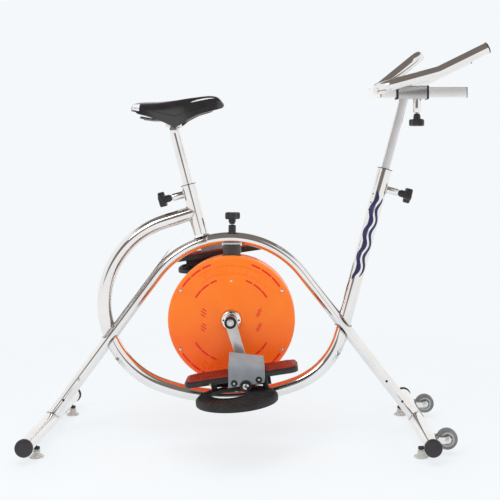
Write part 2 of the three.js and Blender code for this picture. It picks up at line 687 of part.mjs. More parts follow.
// ---- handlebar post, sleeve and slide
const sleeveMiddle = SLEEVE.z;
const halfSleeve = SLEEVE.side / 2;
const bore = SLIDE.side + 2 * FIT;
const sleeveBottom = sleeveMiddle - halfSleeve;
const postTop = along(COLUMN_TOP, columnUp, 230);
add('handlebar_post', cut(
  sweep(
    line(along(COLUMN_TOP, columnUp, -BAR_POST_IN), postTop),
    rectangle(BAR_POST, BAR_POST), rectangle(BAR_POST - 4, BAR_POST - 4),
  ),
  box(SLEEVE.back - 20, SLEEVE.front, -40, 40, sleeveBottom - GAP, sleeveBottom + 60),
), brushedSteel);
addKnob('column_knob', along(columnLock, columnFront, BOSS.to + 3), columnFront,
  BOSS.to + 3 - BAR_POST / 2 - 0.6, 18);

const lockX = 538;
const squareTube = (x0, x1, side, hole) => sweep(
  line(point(x0, 0, sleeveMiddle), point(x1, 0, sleeveMiddle)),
  rectangle(side, side), rectangle(hole, hole),
);
add('bar_sleeve', cut(
  join(
    squareTube(SLEEVE.back, SLEEVE.front, SLEEVE.side, bore),
    rod(12.5, point(lockX, 0, sleeveBottom - 40), point(lockX, 0, sleeveBottom + 1)),
  ),
  rod(STUD_HOLE, point(lockX, 0, sleeveBottom - 45), point(lockX, 0, sleeveMiddle), 12),
), polishedSteel);
add('sleeve_collar_rear', squareTube(SLEEVE.back - 6, SLEEVE.back - GAP, SLEEVE.side + 2, bore), blackPlastic);
add('sleeve_collar_front', squareTube(SLEEVE.front + GAP, SLEEVE.front + 6, SLEEVE.side + 2, bore),
  blackPlastic);
addKnob('slide_knob', point(lockX, 0, sleeveBottom - 43), point(0, 0, -1),
  43 + sleeveBottom - sleeveMiddle + halfSleeve + (halfSleeve - SLIDE.side / 2) - 0.6, 16);

add('slide_tube', squareTube(SLIDE.back, SLIDE.front, SLIDE.side, SLIDE.side - 4), brushedSteel);

// The handlebar: a U with two rising horns, and a sloping hoop welded between its corners.
const hornSide = (side) => [
  point(714, side * 114, 1107), point(582, side * 108, 1042), point(417, side * 101, 997),
];
const hoopSide = (side) => [point(419, side * 70, 999), point(536, side * 70, 1094)];
const horns = rounded([...hornSide(-1), ...hornSide(1).reverse()], BAR_BEND);
const hoop = rounded([...hoopSide(-1), ...hoopSide(1).reverse()], 36);
add('handlebar', cut(
  join(...[horns, hoop].map((route) => sweep(route, circle(BAR, TUBE_SIDES)))),
  ...[horns, hoop].map((route) => sweep(route, circle(BAR - WALL, 6))),
), polishedSteel);

// ---- transport wheels
for (const [name, side] of SIDES) {
  const { radius, half } = WHEEL;
  add(`transport_wheel_${name}`, turned([
    [4 + FIT, -half], [20, -half], [radius, -half + 2], [radius, half - 2], [20, half], [4 + FIT, half],
    [4 + FIT, -half],
  ], 20).translate(WHEEL.x, side * WHEEL.y, WHEEL.z), greyRubber);
}

// The origin is the middle of the bike's footprint.
const extent = new THREE.Box3().setFromObject(bike);
bike.position.x = -(extent.min.x + extent.max.x) / 2;

export default bike;
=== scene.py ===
"""Looks of the water exercise bike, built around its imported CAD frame.

Shapes are worked out in millimetres, X forwards from the crank axis, Y to the rider's left and
Z up from the floor, and turned into the frame's metres when each piece is made.
"""

import math

import bmesh
import bpy
from mathutils import Matrix, Vector


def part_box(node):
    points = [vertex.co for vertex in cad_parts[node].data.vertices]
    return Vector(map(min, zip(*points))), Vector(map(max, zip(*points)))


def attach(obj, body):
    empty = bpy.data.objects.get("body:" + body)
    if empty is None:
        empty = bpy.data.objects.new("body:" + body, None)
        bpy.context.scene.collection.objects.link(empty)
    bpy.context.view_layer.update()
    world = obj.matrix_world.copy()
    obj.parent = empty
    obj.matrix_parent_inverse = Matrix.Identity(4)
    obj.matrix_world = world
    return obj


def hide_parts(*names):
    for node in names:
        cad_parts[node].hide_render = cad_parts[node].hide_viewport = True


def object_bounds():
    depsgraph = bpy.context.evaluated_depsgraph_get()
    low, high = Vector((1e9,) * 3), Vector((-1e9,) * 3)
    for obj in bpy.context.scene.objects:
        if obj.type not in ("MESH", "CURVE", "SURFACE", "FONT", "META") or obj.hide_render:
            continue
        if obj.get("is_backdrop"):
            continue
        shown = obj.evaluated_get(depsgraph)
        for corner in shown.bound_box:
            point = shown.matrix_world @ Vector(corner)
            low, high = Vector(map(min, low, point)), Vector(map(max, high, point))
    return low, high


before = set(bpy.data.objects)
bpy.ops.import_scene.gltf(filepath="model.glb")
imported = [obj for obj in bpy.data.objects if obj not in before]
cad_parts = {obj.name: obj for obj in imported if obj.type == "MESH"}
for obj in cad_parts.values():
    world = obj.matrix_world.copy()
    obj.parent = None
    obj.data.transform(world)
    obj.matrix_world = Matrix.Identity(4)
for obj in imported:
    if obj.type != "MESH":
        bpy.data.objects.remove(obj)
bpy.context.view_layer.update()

# ---------------------------------------------------------------- driving dimensions, mm
CRANK_Z = 340
FOOT_Z = 45
REAR_FOOT_X = -526
FRONT_FOOT_X = 537
FOOT_HALF = 265
FEET = (("rear", REAR_FOOT_X, -512), ("front", FRONT_FOOT_X, 517))  # name, tube, suction cups
CUP_Y = 200
TUBE = 21.2  # radius of the loop, column, seat and foot tubes
ARCH = 17  # radius of the arch tube
WALL = 2.2
LEAN = 15  # column, degrees
SEAT_LEAN = 14.5
COLUMN_TOP = Vector((445, 0, 772))
SEAT_TOP = Vector((-128, 0, 726.5))
SEAT_TUBE_LENGTH = 149
COLUMN_BENDS = [(470.5,)]  # a straight, or a radius and its clockwise turn
LOWER_BENDS = [(25.5,), (215, 54), (560, 41), (251, 48)]
REAR_BENDS = [(251, 95), (93,)]
ARCH_START = (-530, FOOT_Z, 53.4)
ARCH_BENDS = [(522.5,), (266, 105.5), (541,)]
SADDLING = 13  # the loop's cut ends lie this far from the arch's axis

CASE_RADIUS = 182.5
CASE_HALF = 48
CRANK_LENGTH = 160.5
CRANK_ANGLE = 17.2
ARM_IN, ARM_OUT = 78, 92
PEDAL_IN, PEDAL_OUT = 97, 187
PEDAL_TILT = 8.6
PLATFORM_LENGTH, PLATFORM_BACK = 311, 10  # its centre behind the spindle
PLATFORM_FLOOR, PLATFORM_THICK, TREAD_THICK = 15, 14, 6
SPINDLE = 7
STRAP_HALF, STRAP_TOP, STRAP_THICK = 50, 82, 4
DISH_RADIUS, DISH_HOLE, DISH_BACK, DISH_DEPTH, DISH_TOP = 110, 49, 26, 23, -10
DISH_DROP = 4.6  # slope of the dish from the platform, degrees
DISH_EYE = -19  # the hole's centre from the dish's own
DISH_NOTCH = 17.5  # clears the hub and the spindle's end washer
DISH_POSTS = ((-88, 158), (52, 168))

SEAT_POST, SEAT_POST_OUT, SEAT_POST_IN = 15, 165, 75
BAR_POST, BAR_POST_OUT, BAR_POST_IN = 24, 230, 200
SLEEVE_BACK, SLEEVE_FRONT, SLEEVE_Z, SLEEVE_SIDE = 482, 564, 994, 37
SLIDE_BACK, SLIDE_FRONT, SLIDE_SIDE = 433.3, 680, 30
LOCK_X = 538
BAR, BAR_BEND, HOOP_BEND = 16, 45, 36
WHEEL_X, WHEEL_Y, WHEEL_Z, WHEEL_RADIUS, WHEEL_HALF = 590, 178, 42, 28.5, 10
BOSS_IN, BOSS_OUT, BOSS_RADIUS = 12, 53, 11
STUD_HOLE = 5.3
GRIP_HEIGHT = 20
RAIL, RAIL_Y, RAIL_Z = 3.5, 15, 28
CLAMP_X, CLAMP_Y = 22, 21  # half sizes of the saddle clamp
TAIL, NOSE = -287, -24
HOOP_Y = 70
HORN_BACK = (417, 997)  # where the horns' cross bar runs

MM = 0.001
X, Y, Z = Vector((1, 0, 0)), Vector((0, 1, 0)), Vector((0, 0, 1))
ORIGIN = Vector()
axle_low, axle_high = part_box("crank_axle")
TO_FRAME = Matrix.Translation(((axle_low.x + axle_high.x) / 2, 0, 0)) @ Matrix.Scale(MM, 4)
SIDES = (("right", -1), ("left", 1))


def lean(degrees):
    """Unit vectors along a tube leaning forwards by that much, and squarely out of its front."""
    a = math.radians(degrees)
    return Vector((math.sin(a), 0, math.cos(a))), Vector((math.cos(a), 0, -math.sin(a)))


COLUMN_UP, COLUMN_FRONT = lean(LEAN)
SEAT_UP, SEAT_FRONT = lean(-SEAT_LEAN)
SEAT_BACK = -SEAT_FRONT
SEAT_HEAD = SEAT_TOP + SEAT_UP * SEAT_POST_OUT
COLUMN_LOCK = COLUMN_TOP - COLUMN_UP * 57
SEAT_LOCK = SEAT_TOP - SEAT_UP * 25
HUB = Vector((0, 0, CRANK_Z))


# ---------------------------------------------------------------- shapes, each a bmesh in mm
def skin(rows, closed=False, capped=True):
    """Quads over rows of points; a row of one point makes a fan."""
    bm = bmesh.new()
    made = [[bm.verts.new(p) for p in row] for row in rows]
    pairs = list(zip(made, made[1:]))
    if closed:
        pairs.append((made[-1], made[0]))
    for a, b in pairs:
        n = max(len(a), len(b))
        for i in range(n):
            j = (i + 1) % n
            if len(a) == 1:
                bm.faces.new((a[0], b[j], b[i]))
            elif len(b) == 1:
                bm.faces.new((a[i], a[j], b[0]))
            else:
                bm.faces.new((a[i], a[j], b[j], b[i]))
    if capped and not closed:
        for row in (made[0], made[-1]):
            if len(row) > 2:
                bm.faces.new(row)
    return bm


def circle(radius, sides, centre=ORIGIN, u=X, v=Z):
    steps = (2 * math.pi * i / sides for i in range(sides))
    return [centre + (u * math.cos(a) + v * math.sin(a)) * radius for a in steps]


def turned(profile, centre=ORIGIN, axis=Z, sides=48, closed=False):
    """Revolves (radius, height) pairs about an axis through centre."""
    turn = Z.rotation_difference(axis)
    u, v = turn @ X, turn @ Y
    rows = []
    for r, h in profile:
        middle = centre + axis * h
        rows.append([middle] if r < 1e-6 else circle(r, sides, middle, u, v))
    return skin(rows, closed)


def eased(points, radius, closed=False):
    """The same outline with its corners rounded, as far as its sides allow."""
    steps = 3
    points = [Vector(p) for p in points]
    n = len(points)
    out = []
    for i, p in enumerate(points):
        if not closed and i in (0, n - 1):
            out.append(p)
            continue
        before, after = points[i - 1] - p, points[(i + 1) % n] - p
        reach = min(radius, before.length * 0.45, after.length * 0.45)
        a, b = p + before.normalized() * reach, p + after.normalized() * reach
        for k in range(steps + 1):
            t = k / steps
            out.append(a * (1 - t) ** 2 + p * 2 * t * (1 - t) + b * t * t)
    return out


def turned_soft(profile, radius, *place, closed=False, **more):
    """A revolved profile whose corners are rounded first."""
    soft = [tuple(p) for p in eased(profile, radius, closed)]
    return turned(soft, *place, closed=closed, **more)


def rod(radius, low, high, *place, soft=0, **more):
    """A solid bar between two heights on its axis."""
    profile = [(0, low), (radius, low), (radius, high), (0, high)]
    return turned_soft(profile, soft, *place, **more) if soft else turned(profile, *place, **more)


def ring(bore, radius, low, high, *place, soft=0, **more):
    """A bar with a bore through it."""
    profile = [(bore, low), (radius, low), (radius, high), (bore, high)]
    if soft:
        return turned_soft(profile, soft, *place, closed=True, **more)
    return turned(profile, *place, closed=True, **more)


def frames(path, up, closed=False):
    """Point, side and upright at each point of a path, without twist."""
    out = []
    n = len(path)
    side = None
    for i, p in enumerate(path):
        a = path[i - 1] if i or closed else p
        b = path[(i + 1) % n] if i < n - 1 or closed else p
        t = ((p - a).normalized() + (b - p).normalized()).normalized()
        side = up.cross(t) if side is None else side
        side = (side - t * side.dot(t)).normalized()
        out.append((p, side, t.cross(side)))
    return out


def arc2d(radius, first, last, step, x=0.0, z=0.0):
    """Points of an arc about (x, z), from one whole degree to another."""
    return [(x + radius * math.cos(a), z + radius * math.sin(a))
            for a in (math.radians(d) for d in range(first, last + 1, step))]


def ring2d(radius, sides=40):
    return [(p.x, p.z) for p in circle(radius, sides)]


def pipe(path, radius, wall=0.0, up=Y, sides=40):
    """A tube along a path, hollow if it has a wall."""
    outer = [[p + s * a + r * b for a, b in ring2d(radius, sides)] for p, s, r in frames(path, up)]
    if not wall:
        return skin(outer)
    bore = ring2d(radius - wall, sides)
    inner = [[p + s * a + r * b for a, b in bore] for p, s, r in frames(path, up)]
    return skin(outer + inner[::-1], closed=True)


def prism(outline, from_y, to_y):
    """An (x, z) outline extruded along Y."""
    return skin([[Vector((x, y, z)) for x, z in outline] for y in (from_y, to_y)])


def block(x, y, z):
    """A box from three (low, high) pairs."""
    return prism([(x[0], z[0]), (x[1], z[0]), (x[1], z[1]), (x[0], z[1])], *y)


def merge(*parts):
    whole = bmesh.new()
    for part in parts:
        mesh = bpy.data.meshes.new("part")
        part.to_mesh(mesh)
        part.free()
        whole.from_mesh(mesh)
        bpy.data.meshes.remove(mesh)
    return whole


def bevelled(bm, width, segments=2, angle=30):
    bmesh.ops.recalc_face_normals(bm, faces=bm.faces)
    edges = [e for e in bm.edges
             if len(e.link_faces) == 2 and e.calc_face_angle(0) > math.radians(angle)]
    bmesh.ops.bevel(bm, geom=edges, offset=width, segments=segments, affect="EDGES",
                    profile=0.5, clamp_overlap=True)
    return bm


def moved(bm, matrix):
    bm.transform(matrix)
    return bm


def flipped(bm, side):
    """The shape as built for the left side, or its mirror image for the right."""
    if side < 0:
        bm.transform(Matrix.Scale(-1, 4, Y))
        bmesh.ops.reverse_faces(bm, faces=bm.faces)
    return bm


def trimmed(bm, at, outward):
    """Cuts away what lies past a plane and closes the cut tube wall."""
    everything = bm.verts[:] + bm.edges[:] + bm.faces[:]
    cut = bmesh.ops.bisect_plane(bm, geom=everything, plane_co=at, plane_no=outward,
                                 clear_outer=True)
    rims = [e for e in cut["geom_cut"] if isinstance(e, bmesh.types.BMEdge)]
    bmesh.ops.bridge_loops(bm, edges=rims)
    return bm


def scene_object(name, bm):
    mesh = bpy.data.meshes.new(name)
    bmesh.ops.recalc_face_normals(bm, faces=bm.faces)
    bm.to_mesh(mesh)
    bm.free()
    obj = bpy.data.objects.new(name, mesh)
    bpy.context.scene.collection.objects.link(obj)
    return obj


def carved(bm, *cutters):
    """bm less the cutters."""
    base = scene_object("base", bm)
    tool = scene_object("tool", merge(*cutters))
    step = base.modifiers.new("cut", "BOOLEAN")
    step.operation, step.solver, step.object = "DIFFERENCE", "EXACT", tool
    bpy.context.view_layer.update()
    depsgraph = bpy.context.evaluated_depsgraph_get()
    mesh = bpy.data.meshes.new_from_object(base.evaluated_get(depsgraph))
    out = bmesh.new()
    out.from_mesh(mesh)
    for obj in (base, tool):
        bpy.data.objects.remove(obj)
    return out


def piece(name, bm, material, body, replaces=(), slot=None, sharp=32):
    obj = scene_object(name, moved(bm, TO_FRAME))
    obj.data.materials.append(material)
    obj.data.shade_smooth()
    obj.data.set_sharp_from_angle(angle=math.radians(sharp))
    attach(obj, body)
    if replaces:
        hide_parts(*replaces)
    return obj


# ---------------------------------------------------------------- paths
def bent(start, program, step=3.0):
    """Points along a bend program in the centre plane, and its end as (x, z, heading)."""
    x, z, heading = start
    at = Vector((x, 0, z))
    path = [at.copy()]
    for move in program:
        a = math.radians(heading)
        if len(move) == 1:
            at = at + Vector((math.cos(a), 0, math.sin(a))) * move[0]
            path.append(at.copy())
            continue
        radius, turn = move
        inward = Vector((math.sin(a), 0, -math.cos(a))) * radius
        centre = at + inward
        count = math.ceil(turn / step)
        for k in range(1, count + 1):
            path.append(centre + Matrix.Rotation(math.radians(turn * k / count), 3, "Y") @ -inward)
        at = path[-1]
        heading -= turn
    return path, (at.x, at.z, heading)


def rounded(corners, radius, step=9.0):
    """A polyline in space whose inner corners are arcs of one radius."""
    path = [corners[0]]
    for before, p, after in zip(corners, corners[1:], corners[2:]):
        a, b = (p - before).normalized(), (after - p).normalized()
        turn = a.angle(b)
        axis = a.cross(b).normalized()
        start = p - a * radius * math.tan(turn / 2)
        inward = axis.cross(a) * radius
        count = max(2, math.ceil(math.degrees(turn) / step))
        for k in range(count + 1):
            spoke = Matrix.Rotation(turn * k / count, 3, axis) @ -inward
            path.append(start + inward + spoke)
    path.append(corners[-1])
    return path


# ---------------------------------------------------------------- small parts
def resampled(path, spacing, closed=True):
    """The path with points about evenly apart."""
    corners = path + path[:1] if closed else path
    out = []
    for a, b in zip(corners, corners[1:]):
        count = max(1, round((b - a).length / spacing))
        out += [a.lerp(b, k / count) for k in range(count)]
    return out if closed else out + [path[-1]]


def bead(rim, size=1.9):
    """A weld bead round a closed line, with the ripple a torch leaves."""
    pitch = 6.0
    path = resampled(rim, 1.5)
    length = sum((b - a).length for a, b in zip(path, path[1:] + path[:1]))
    ripples = max(8, round(length / pitch))
    rows = []
    for i, (p, side, rise) in enumerate(frames(path, Y + Vector((0.31, 0, 0.17)), closed=True)):
        r = size * (1 + 0.16 * math.cos(2 * math.pi * ripples * i / len(path)))
        rows.append([p + side * a + rise * b for a, b in ring2d(r, 8)])
    return skin(rows, closed=True)


def meeting(origin, direction, radius, other, other_axis, other_radius, sides=96):
    """Where a tube starting at origin first meets another tube's wall."""
    u = direction.orthogonal().normalized()
    v = direction.cross(u)
    out = []
    for p in circle(radius, sides, origin, u, v):
        w = p - other
        a = direction - other_axis * direction.dot(other_axis)
        b = w - other_axis * w.dot(other_axis)
        half = a.dot(b)
        inside = half * half - a.dot(a) * (b.dot(b) - other_radius ** 2)
        t = (-half - math.sqrt(max(inside, 0.0))) / a.dot(a)
        out.append(p + direction * t)
    return out


def hex_head(centre, axis, across=13.0, height=5.0, washer=True):
    """A bolt or nut seen from outside: six chamfered flats on a thin washer."""
    r = across / math.sqrt(3)
    parts = [turned([(0, -1), (r, -1), (r, height - 1.1), (r * 0.86, height), (r * 0.45, height),
                     (r * 0.4, height + 1.4), (0, height + 1.6)], centre, axis, sides=6)]
    if washer:
        parts.append(rod(r * 1.45, -0.5, 1.0, centre, axis, sides=32, soft=0.4))
    return merge(*parts)


def socket_screw(centre, axis, radius, height=3.0):
    """A button-head screw with a round socket."""
    profile = [(0, height * 0.35), (radius * 0.38, height * 0.35), (radius * 0.42, height),
               (radius * 0.62, height * 0.95), (radius * 0.88, height * 0.6), (radius, height * 0.12),
               (radius, -1), (0, -1)]
    return turned(profile, centre, axis, sides=30)


def slotted_screw(centre, axis, radius, across):
    """A cheese-head screw whose slot runs along across."""
    head = rod(radius, -2, 2.4, centre, axis, sides=30, soft=0.6)
    other = axis.cross(across)
    corners = [centre + axis * 1.0 + across * a * radius * 1.2 + other * b * 0.8
               for a, b in ((-1, -1), (1, -1), (1, 1), (-1, 1))]
    return carved(head, skin([corners, [p + axis * 4 for p in corners]]))


def lobed_head(centre, axis, height=GRIP_HEIGHT, lobes=5):
    """A hand knob's grip, domed on top."""
    turn = Z.rotation_difference(axis).to_matrix()
    profile = [(0.55, 0.0), (0.86, 0.0), (0.96, 1.2), (1.0, 3.2), (1.0, height - 4.5),
               (0.97, height - 2.0), (0.88, height - 0.7), (0.70, height - 0.1), (0.35, height)]
    grip, lobe, sides = 20.5, 2.5, 100
    rows = []
    for scale, h in profile:
        row = []
        for i in range(sides):
            a = 2 * math.pi * i / sides
            depth = lobe * min(1.0, (scale - 0.3) / 0.5)
            r = grip * scale + depth * math.cos(lobes * a)
            row.append(centre + turn @ Vector((r * math.cos(a), r * math.sin(a), h)))
        rows.append(row)
    rows.append([centre + turn @ Vector((0, 0, height))])
    return skin(rows)


def thread(start, axis, length, radius=4.8, pitch=1.25):
    """A screw thread as close rings."""
    profile = [(0, 0)]
    for k in range(int(length / pitch)):
        foot = k * pitch
        profile += [(radius, foot + 0.1), (radius, foot + 0.45), (radius - 0.65, (k + 0.75) * pitch)]
    profile.append((0, length))
    return turned(profile, start, axis, sides=24)


def add_knob(name, foot, axis, stud, hub, body):
    """A lobed knob whose stud reaches back from foot, replacing its CAD node."""
    grip = merge(
        lobed_head(foot + axis * hub, axis),
        turned_soft([(0, 0), (8.5, 0), (8.5, 4), (10.5, 5), (10.5, hub - 2), (12.5, hub),
                     (12.5, hub + 2), (0, hub + 2)], 0.8, foot, axis, sides=40),
    )
    piece(name + "_grip", grip, black_plastic, body, replaces=[name])
    piece(name + "_stud", thread(foot - axis * stud, axis, stud + 1), bright_steel, body)
    top = foot + axis * (hub + GRIP_HEIGHT - 0.4)
    piece(name + "_insert", rod(4.5, 0.1, 0.9, top, axis, sides=30, soft=0.3), bright_steel, body)


# ---------------------------------------------------------------- materials
MIX_A, MIX_B, MIX_OUT = 6, 7, 2  # the colour sockets of a mix node


def set_range(node, start, end, low, high):
    for socket, number in (("From Min", start), ("From Max", end), ("To Min", low), ("To Max", high)):
        node.inputs[socket].default_value = number


class Surface:
    """A Principled material with helpers for the noise that drives its colour, gloss and relief."""

    def __init__(self, name, **sockets):
        self.material = bpy.data.materials.new(name)
        self.material.use_nodes = True
        self.tree = self.material.node_tree
        self.shader = self.tree.nodes["Principled BSDF"]
        self.place = self.tree.nodes.new("ShaderNodeTexCoord").outputs["Object"]
        for socket, value in sockets.items():
            self.shader.inputs[socket.replace("_", " ")].default_value = value

    def mapped(self, scale=(1, 1, 1), tilt=0.0):
        """Object coordinates turned about Y by tilt degrees, then scaled."""
        turn = self.tree.nodes.new("ShaderNodeMapping")
        turn.inputs["Rotation"].default_value = (0, math.radians(tilt), 0)
        self.tree.links.new(self.place, turn.inputs["Vector"])
        size = self.tree.nodes.new("ShaderNodeMapping")
        size.inputs["Scale"].default_value = scale
        self.tree.links.new(turn.outputs["Vector"], size.inputs["Vector"])
        return size.outputs["Vector"]

    def noise(self, scale, detail=3.0, stretch=(1, 1, 1), tilt=0.0):
        node = self.tree.nodes.new("ShaderNodeTexNoise")
        node.inputs["Scale"].default_value = scale
        node.inputs["Detail"].default_value = detail
        self.tree.links.new(self.mapped(stretch, tilt), node.inputs["Vector"])
        return node.outputs["Fac"]

    def cells(self, scale, feature="F1"):
        node = self.tree.nodes.new("ShaderNodeTexVoronoi")
        node.feature = feature
        node.inputs["Scale"].default_value = scale
        self.tree.links.new(self.place, node.inputs["Vector"])
        return node.outputs["Distance"]

    def remap(self, value, low, high, start=0.3, end=0.7):
        node = self.tree.nodes.new("ShaderNodeMapRange")
        set_range(node, start, end, low, high)
        self.tree.links.new(value, node.inputs["Value"])
        return node.outputs["Result"]

    def height(self, low, high):
        """0 at the lower height in metres, 1 at the upper one."""
        split = self.tree.nodes.new("ShaderNodeSeparateXYZ")
        self.tree.links.new(self.place, split.inputs["Vector"])
        return self.remap(split.outputs["Z"], 0.0, 1.0, low, high)

    def tint(self, factor, first, second):
        node = self.tree.nodes.new("ShaderNodeMix")
        node.data_type = "RGBA"
        self.tree.links.new(factor, node.inputs["Factor"])
        for socket, colour in ((node.inputs[MIX_A], first), (node.inputs[MIX_B], second)):
            if isinstance(colour, bpy.types.NodeSocket):
                self.tree.links.new(colour, socket)
            else:
                socket.default_value = (*colour, 1)
        return node.outputs[MIX_OUT]

    def colour(self, output):
        self.tree.links.new(output, self.shader.inputs["Base Color"])
        return self

    def gloss(self, value, low, high):
        self.tree.links.new(self.remap(value, low, high), self.shader.inputs["Roughness"])
        return self

    def relief(self, value, distance, strength=1.0):
        """Raises the surface by value times distance, on top of any relief already there."""
        node = self.tree.nodes.new("ShaderNodeBump")
        node.inputs["Strength"].default_value = strength
        node.inputs["Distance"].default_value = distance
        self.tree.links.new(value, node.inputs["Height"])
        normal = self.shader.inputs["Normal"]
        if normal.is_linked:
            self.tree.links.new(normal.links[0].from_socket, node.inputs["Normal"])
        self.tree.links.new(node.outputs["Normal"], normal)
        return self


def steel(name, light, dark, gloss, brush=(1, 1, 1), tilt=0.0, grain=900.0, relief=1.2e-6):
    """Bare metal: polish clouds in its colour and gloss, and a grain that brush draws out."""
    s = Surface(name, Metallic=1.0)
    clouds = s.noise(14, 3)
    s.colour(s.tint(s.remap(clouds, 0, 1), dark, light))
    lines = s.noise(grain, 2, brush, tilt)
    s.gloss(lines, *gloss)
    s.relief(lines, relief)
    s.relief(s.noise(35, 2), relief * 8)
    return s.material


def plastic(name, light, dark, gloss, grain=1400.0, relief=2e-5, **sockets):
    """Moulded plastic or rubber: spark-eroded grain, handling marks and faint mottling."""
    s = Surface(name, **sockets)
    s.colour(s.tint(s.remap(s.noise(38, 4), 0, 1), dark, light))
    s.gloss(s.noise(70, 5), *gloss)
    s.relief(s.noise(grain, 3), relief)
    return s


chrome = steel("chrome", (0.86, 0.855, 0.85), (0.80, 0.79, 0.78), (0.05, 0.11))
bright_steel = steel("bright_steel", (0.84, 0.83, 0.82), (0.66, 0.65, 0.64), (0.12, 0.24))
weld_metal = steel("weld_metal", (0.72, 0.70, 0.67), (0.46, 0.42, 0.38), (0.22, 0.4), grain=500)
crank_steel = steel("crank_steel", (0.70, 0.69, 0.69), (0.60, 0.59, 0.59), (0.26, 0.42),
                    brush=(9, 1, 0.5), tilt=-CRANK_ANGLE, relief=1.2e-5)
post_steel = steel("post_steel", (0.86, 0.855, 0.87), (0.76, 0.755, 0.77), (0.28, 0.44),
                   brush=(6, 6, 0.25), tilt=-LEAN, relief=1.0e-5)
slide_steel = steel("slide_steel", (0.93, 0.93, 0.93), (0.86, 0.86, 0.86), (0.30, 0.45),
                    brush=(0.25, 6, 6), relief=1.0e-5)
sleeve_steel = steel("sleeve_steel", (0.60, 0.60, 0.605), (0.50, 0.50, 0.505), (0.16, 0.28),
                     brush=(0.3, 4, 4))
rail_steel = steel("rail_steel", (0.26, 0.25, 0.25), (0.18, 0.17, 0.17), (0.2, 0.35))
dark_steel = steel("dark_steel", (0.17, 0.155, 0.15), (0.10, 0.09, 0.09), (0.28, 0.42), relief=1e-5)
cast_iron = steel("cast_iron", (0.30, 0.30, 0.31), (0.2, 0.2, 0.21), (0.5, 0.7), grain=500,
                  relief=6e-5)
brass = steel("brass", (0.62, 0.40, 0.16), (0.5, 0.31, 0.12), (0.2, 0.35))

# painted glow: the casing plastic gives off a faint orange light of its own, though it is no lamp
orange = Surface("orange_plastic", Coat_Weight=0.10, Coat_Roughness=0.22, Specular_IOR_Level=0.35,
                 Emission_Color=(0.95, 0.12, 0.008, 1), Emission_Strength=0.13)
# painted shade: the casing is a deeper red-orange below 0.17 m and blends to a lighter orange above 0.36 m
orange.colour(orange.tint(
    orange.height(0.17, 0.36),
    orange.tint(orange.remap(orange.noise(20, 3), 0, 1), (0.90, 0.075, 0.005), (0.93, 0.090, 0.006)),
    orange.tint(orange.remap(orange.noise(20, 3), 0, 1), (0.92, 0.190, 0.010), (0.95, 0.215, 0.013))))
orange.gloss(orange.noise(55, 5), 0.26, 0.40)
orange.relief(orange.noise(1100, 2), 1.2e-5)
orange.relief(orange.noise(9, 2), 6e-4)
orange_plastic = orange.material
red_insert = plastic("red_insert", (0.95, 0.010, 0.006), (0.80, 0.006, 0.005), (0.35, 0.5)).material

black_plastic = plastic("black_plastic", (0.022, 0.022, 0.024), (0.012, 0.012, 0.013),
                        (0.34, 0.5)).material
dull_black = plastic("dull_black", (0.018, 0.018, 0.019), (0.009, 0.009, 0.010), (0.55, 0.72)).material
cap_plastic = plastic("cap_plastic", (0.035, 0.029, 0.036), (0.021, 0.018, 0.022), (0.28, 0.42)).material
pad_rubber = plastic("pad_rubber", (0.06, 0.06, 0.06), (0.04, 0.04, 0.04), (0.7, 0.85)).material
tread_rubber = plastic("tread_rubber", (0.36, 0.032, 0.014), (0.22, 0.018, 0.010), (0.5, 0.68),
                       grain=700, relief=6e-5).material
wheel_rubber = plastic("wheel_rubber", (0.26, 0.26, 0.27), (0.17, 0.17, 0.18), (0.55, 0.75),
                       grain=500, relief=5e-5).material
wheel_core = plastic("wheel_core", (0.52, 0.52, 0.52), (0.42, 0.42, 0.42), (0.3, 0.45)).material
cup_rubber = plastic("cup_rubber", (0.80, 0.80, 0.77), (0.68, 0.68, 0.65), (0.22, 0.36),
                     Subsurface_Weight=0.3, Subsurface_Scale=0.004, Transmission_Weight=0.25).material
blue_print = plastic("blue_print", (0.020, 0.024, 0.115), (0.012, 0.015, 0.08), (0.25, 0.4)).material

strap = plastic("strap_band", (0.31, 0.335, 0.36), (0.25, 0.27, 0.295), (0.38, 0.54), grain=900,
                Sheen_Weight=0.15)
strap.relief(strap.noise(28, 4, (3.2, 3.2, 0.5)), 2.4e-3, 0.55)
strap.relief(strap.noise(420, 2, (1, 1, 0.12)), 8e-5)
strap_band = strap.material

vinyl = Surface("saddle_vinyl", Coat_Weight=0.6, Coat_Roughness=0.24)
vinyl.colour(vinyl.tint(vinyl.remap(vinyl.noise(26, 4), 0, 1),
                        (0.007, 0.007, 0.008), (0.013, 0.013, 0.014)))
vinyl.gloss(vinyl.noise(60, 4), 0.24, 0.36)
vinyl.relief(vinyl.cells(760, "DISTANCE_TO_EDGE"), 1.6e-4, 0.5)
vinyl.relief(vinyl.noise(150, 3), 1.2e-4, 0.6)
saddle_vinyl = vinyl.material
# pale grey for the strips on the saddle cover; on the tail's flanks it is a painted highlight
tail_patch = plastic("tail_patch", (0.80, 0.79, 0.84), (0.66, 0.65, 0.70), (0.3, 0.45)).material

# carried-over CAD nodes, mostly hidden inside the tubes and the casing
for node, finish in (
    ("seat_liner", black_plastic), ("column_liner", black_plastic), ("hub_bearing_right", bright_steel),
    ("hub_bearing_left", bright_steel), ("brake_wheel", cast_iron), ("crank_axle", bright_steel),
    ("brake_shoe", pad_rubber),
):
    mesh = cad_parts[node].data
    mesh.materials.clear()
    mesh.materials.append(finish)

# ---------------------------------------------------------------- welded tube frame
arch_path, _ = bent(ARCH_START, ARCH_BENDS)
piece("arch", pipe(arch_path, ARCH, WALL), chrome, "frame", ["arch_tube"])

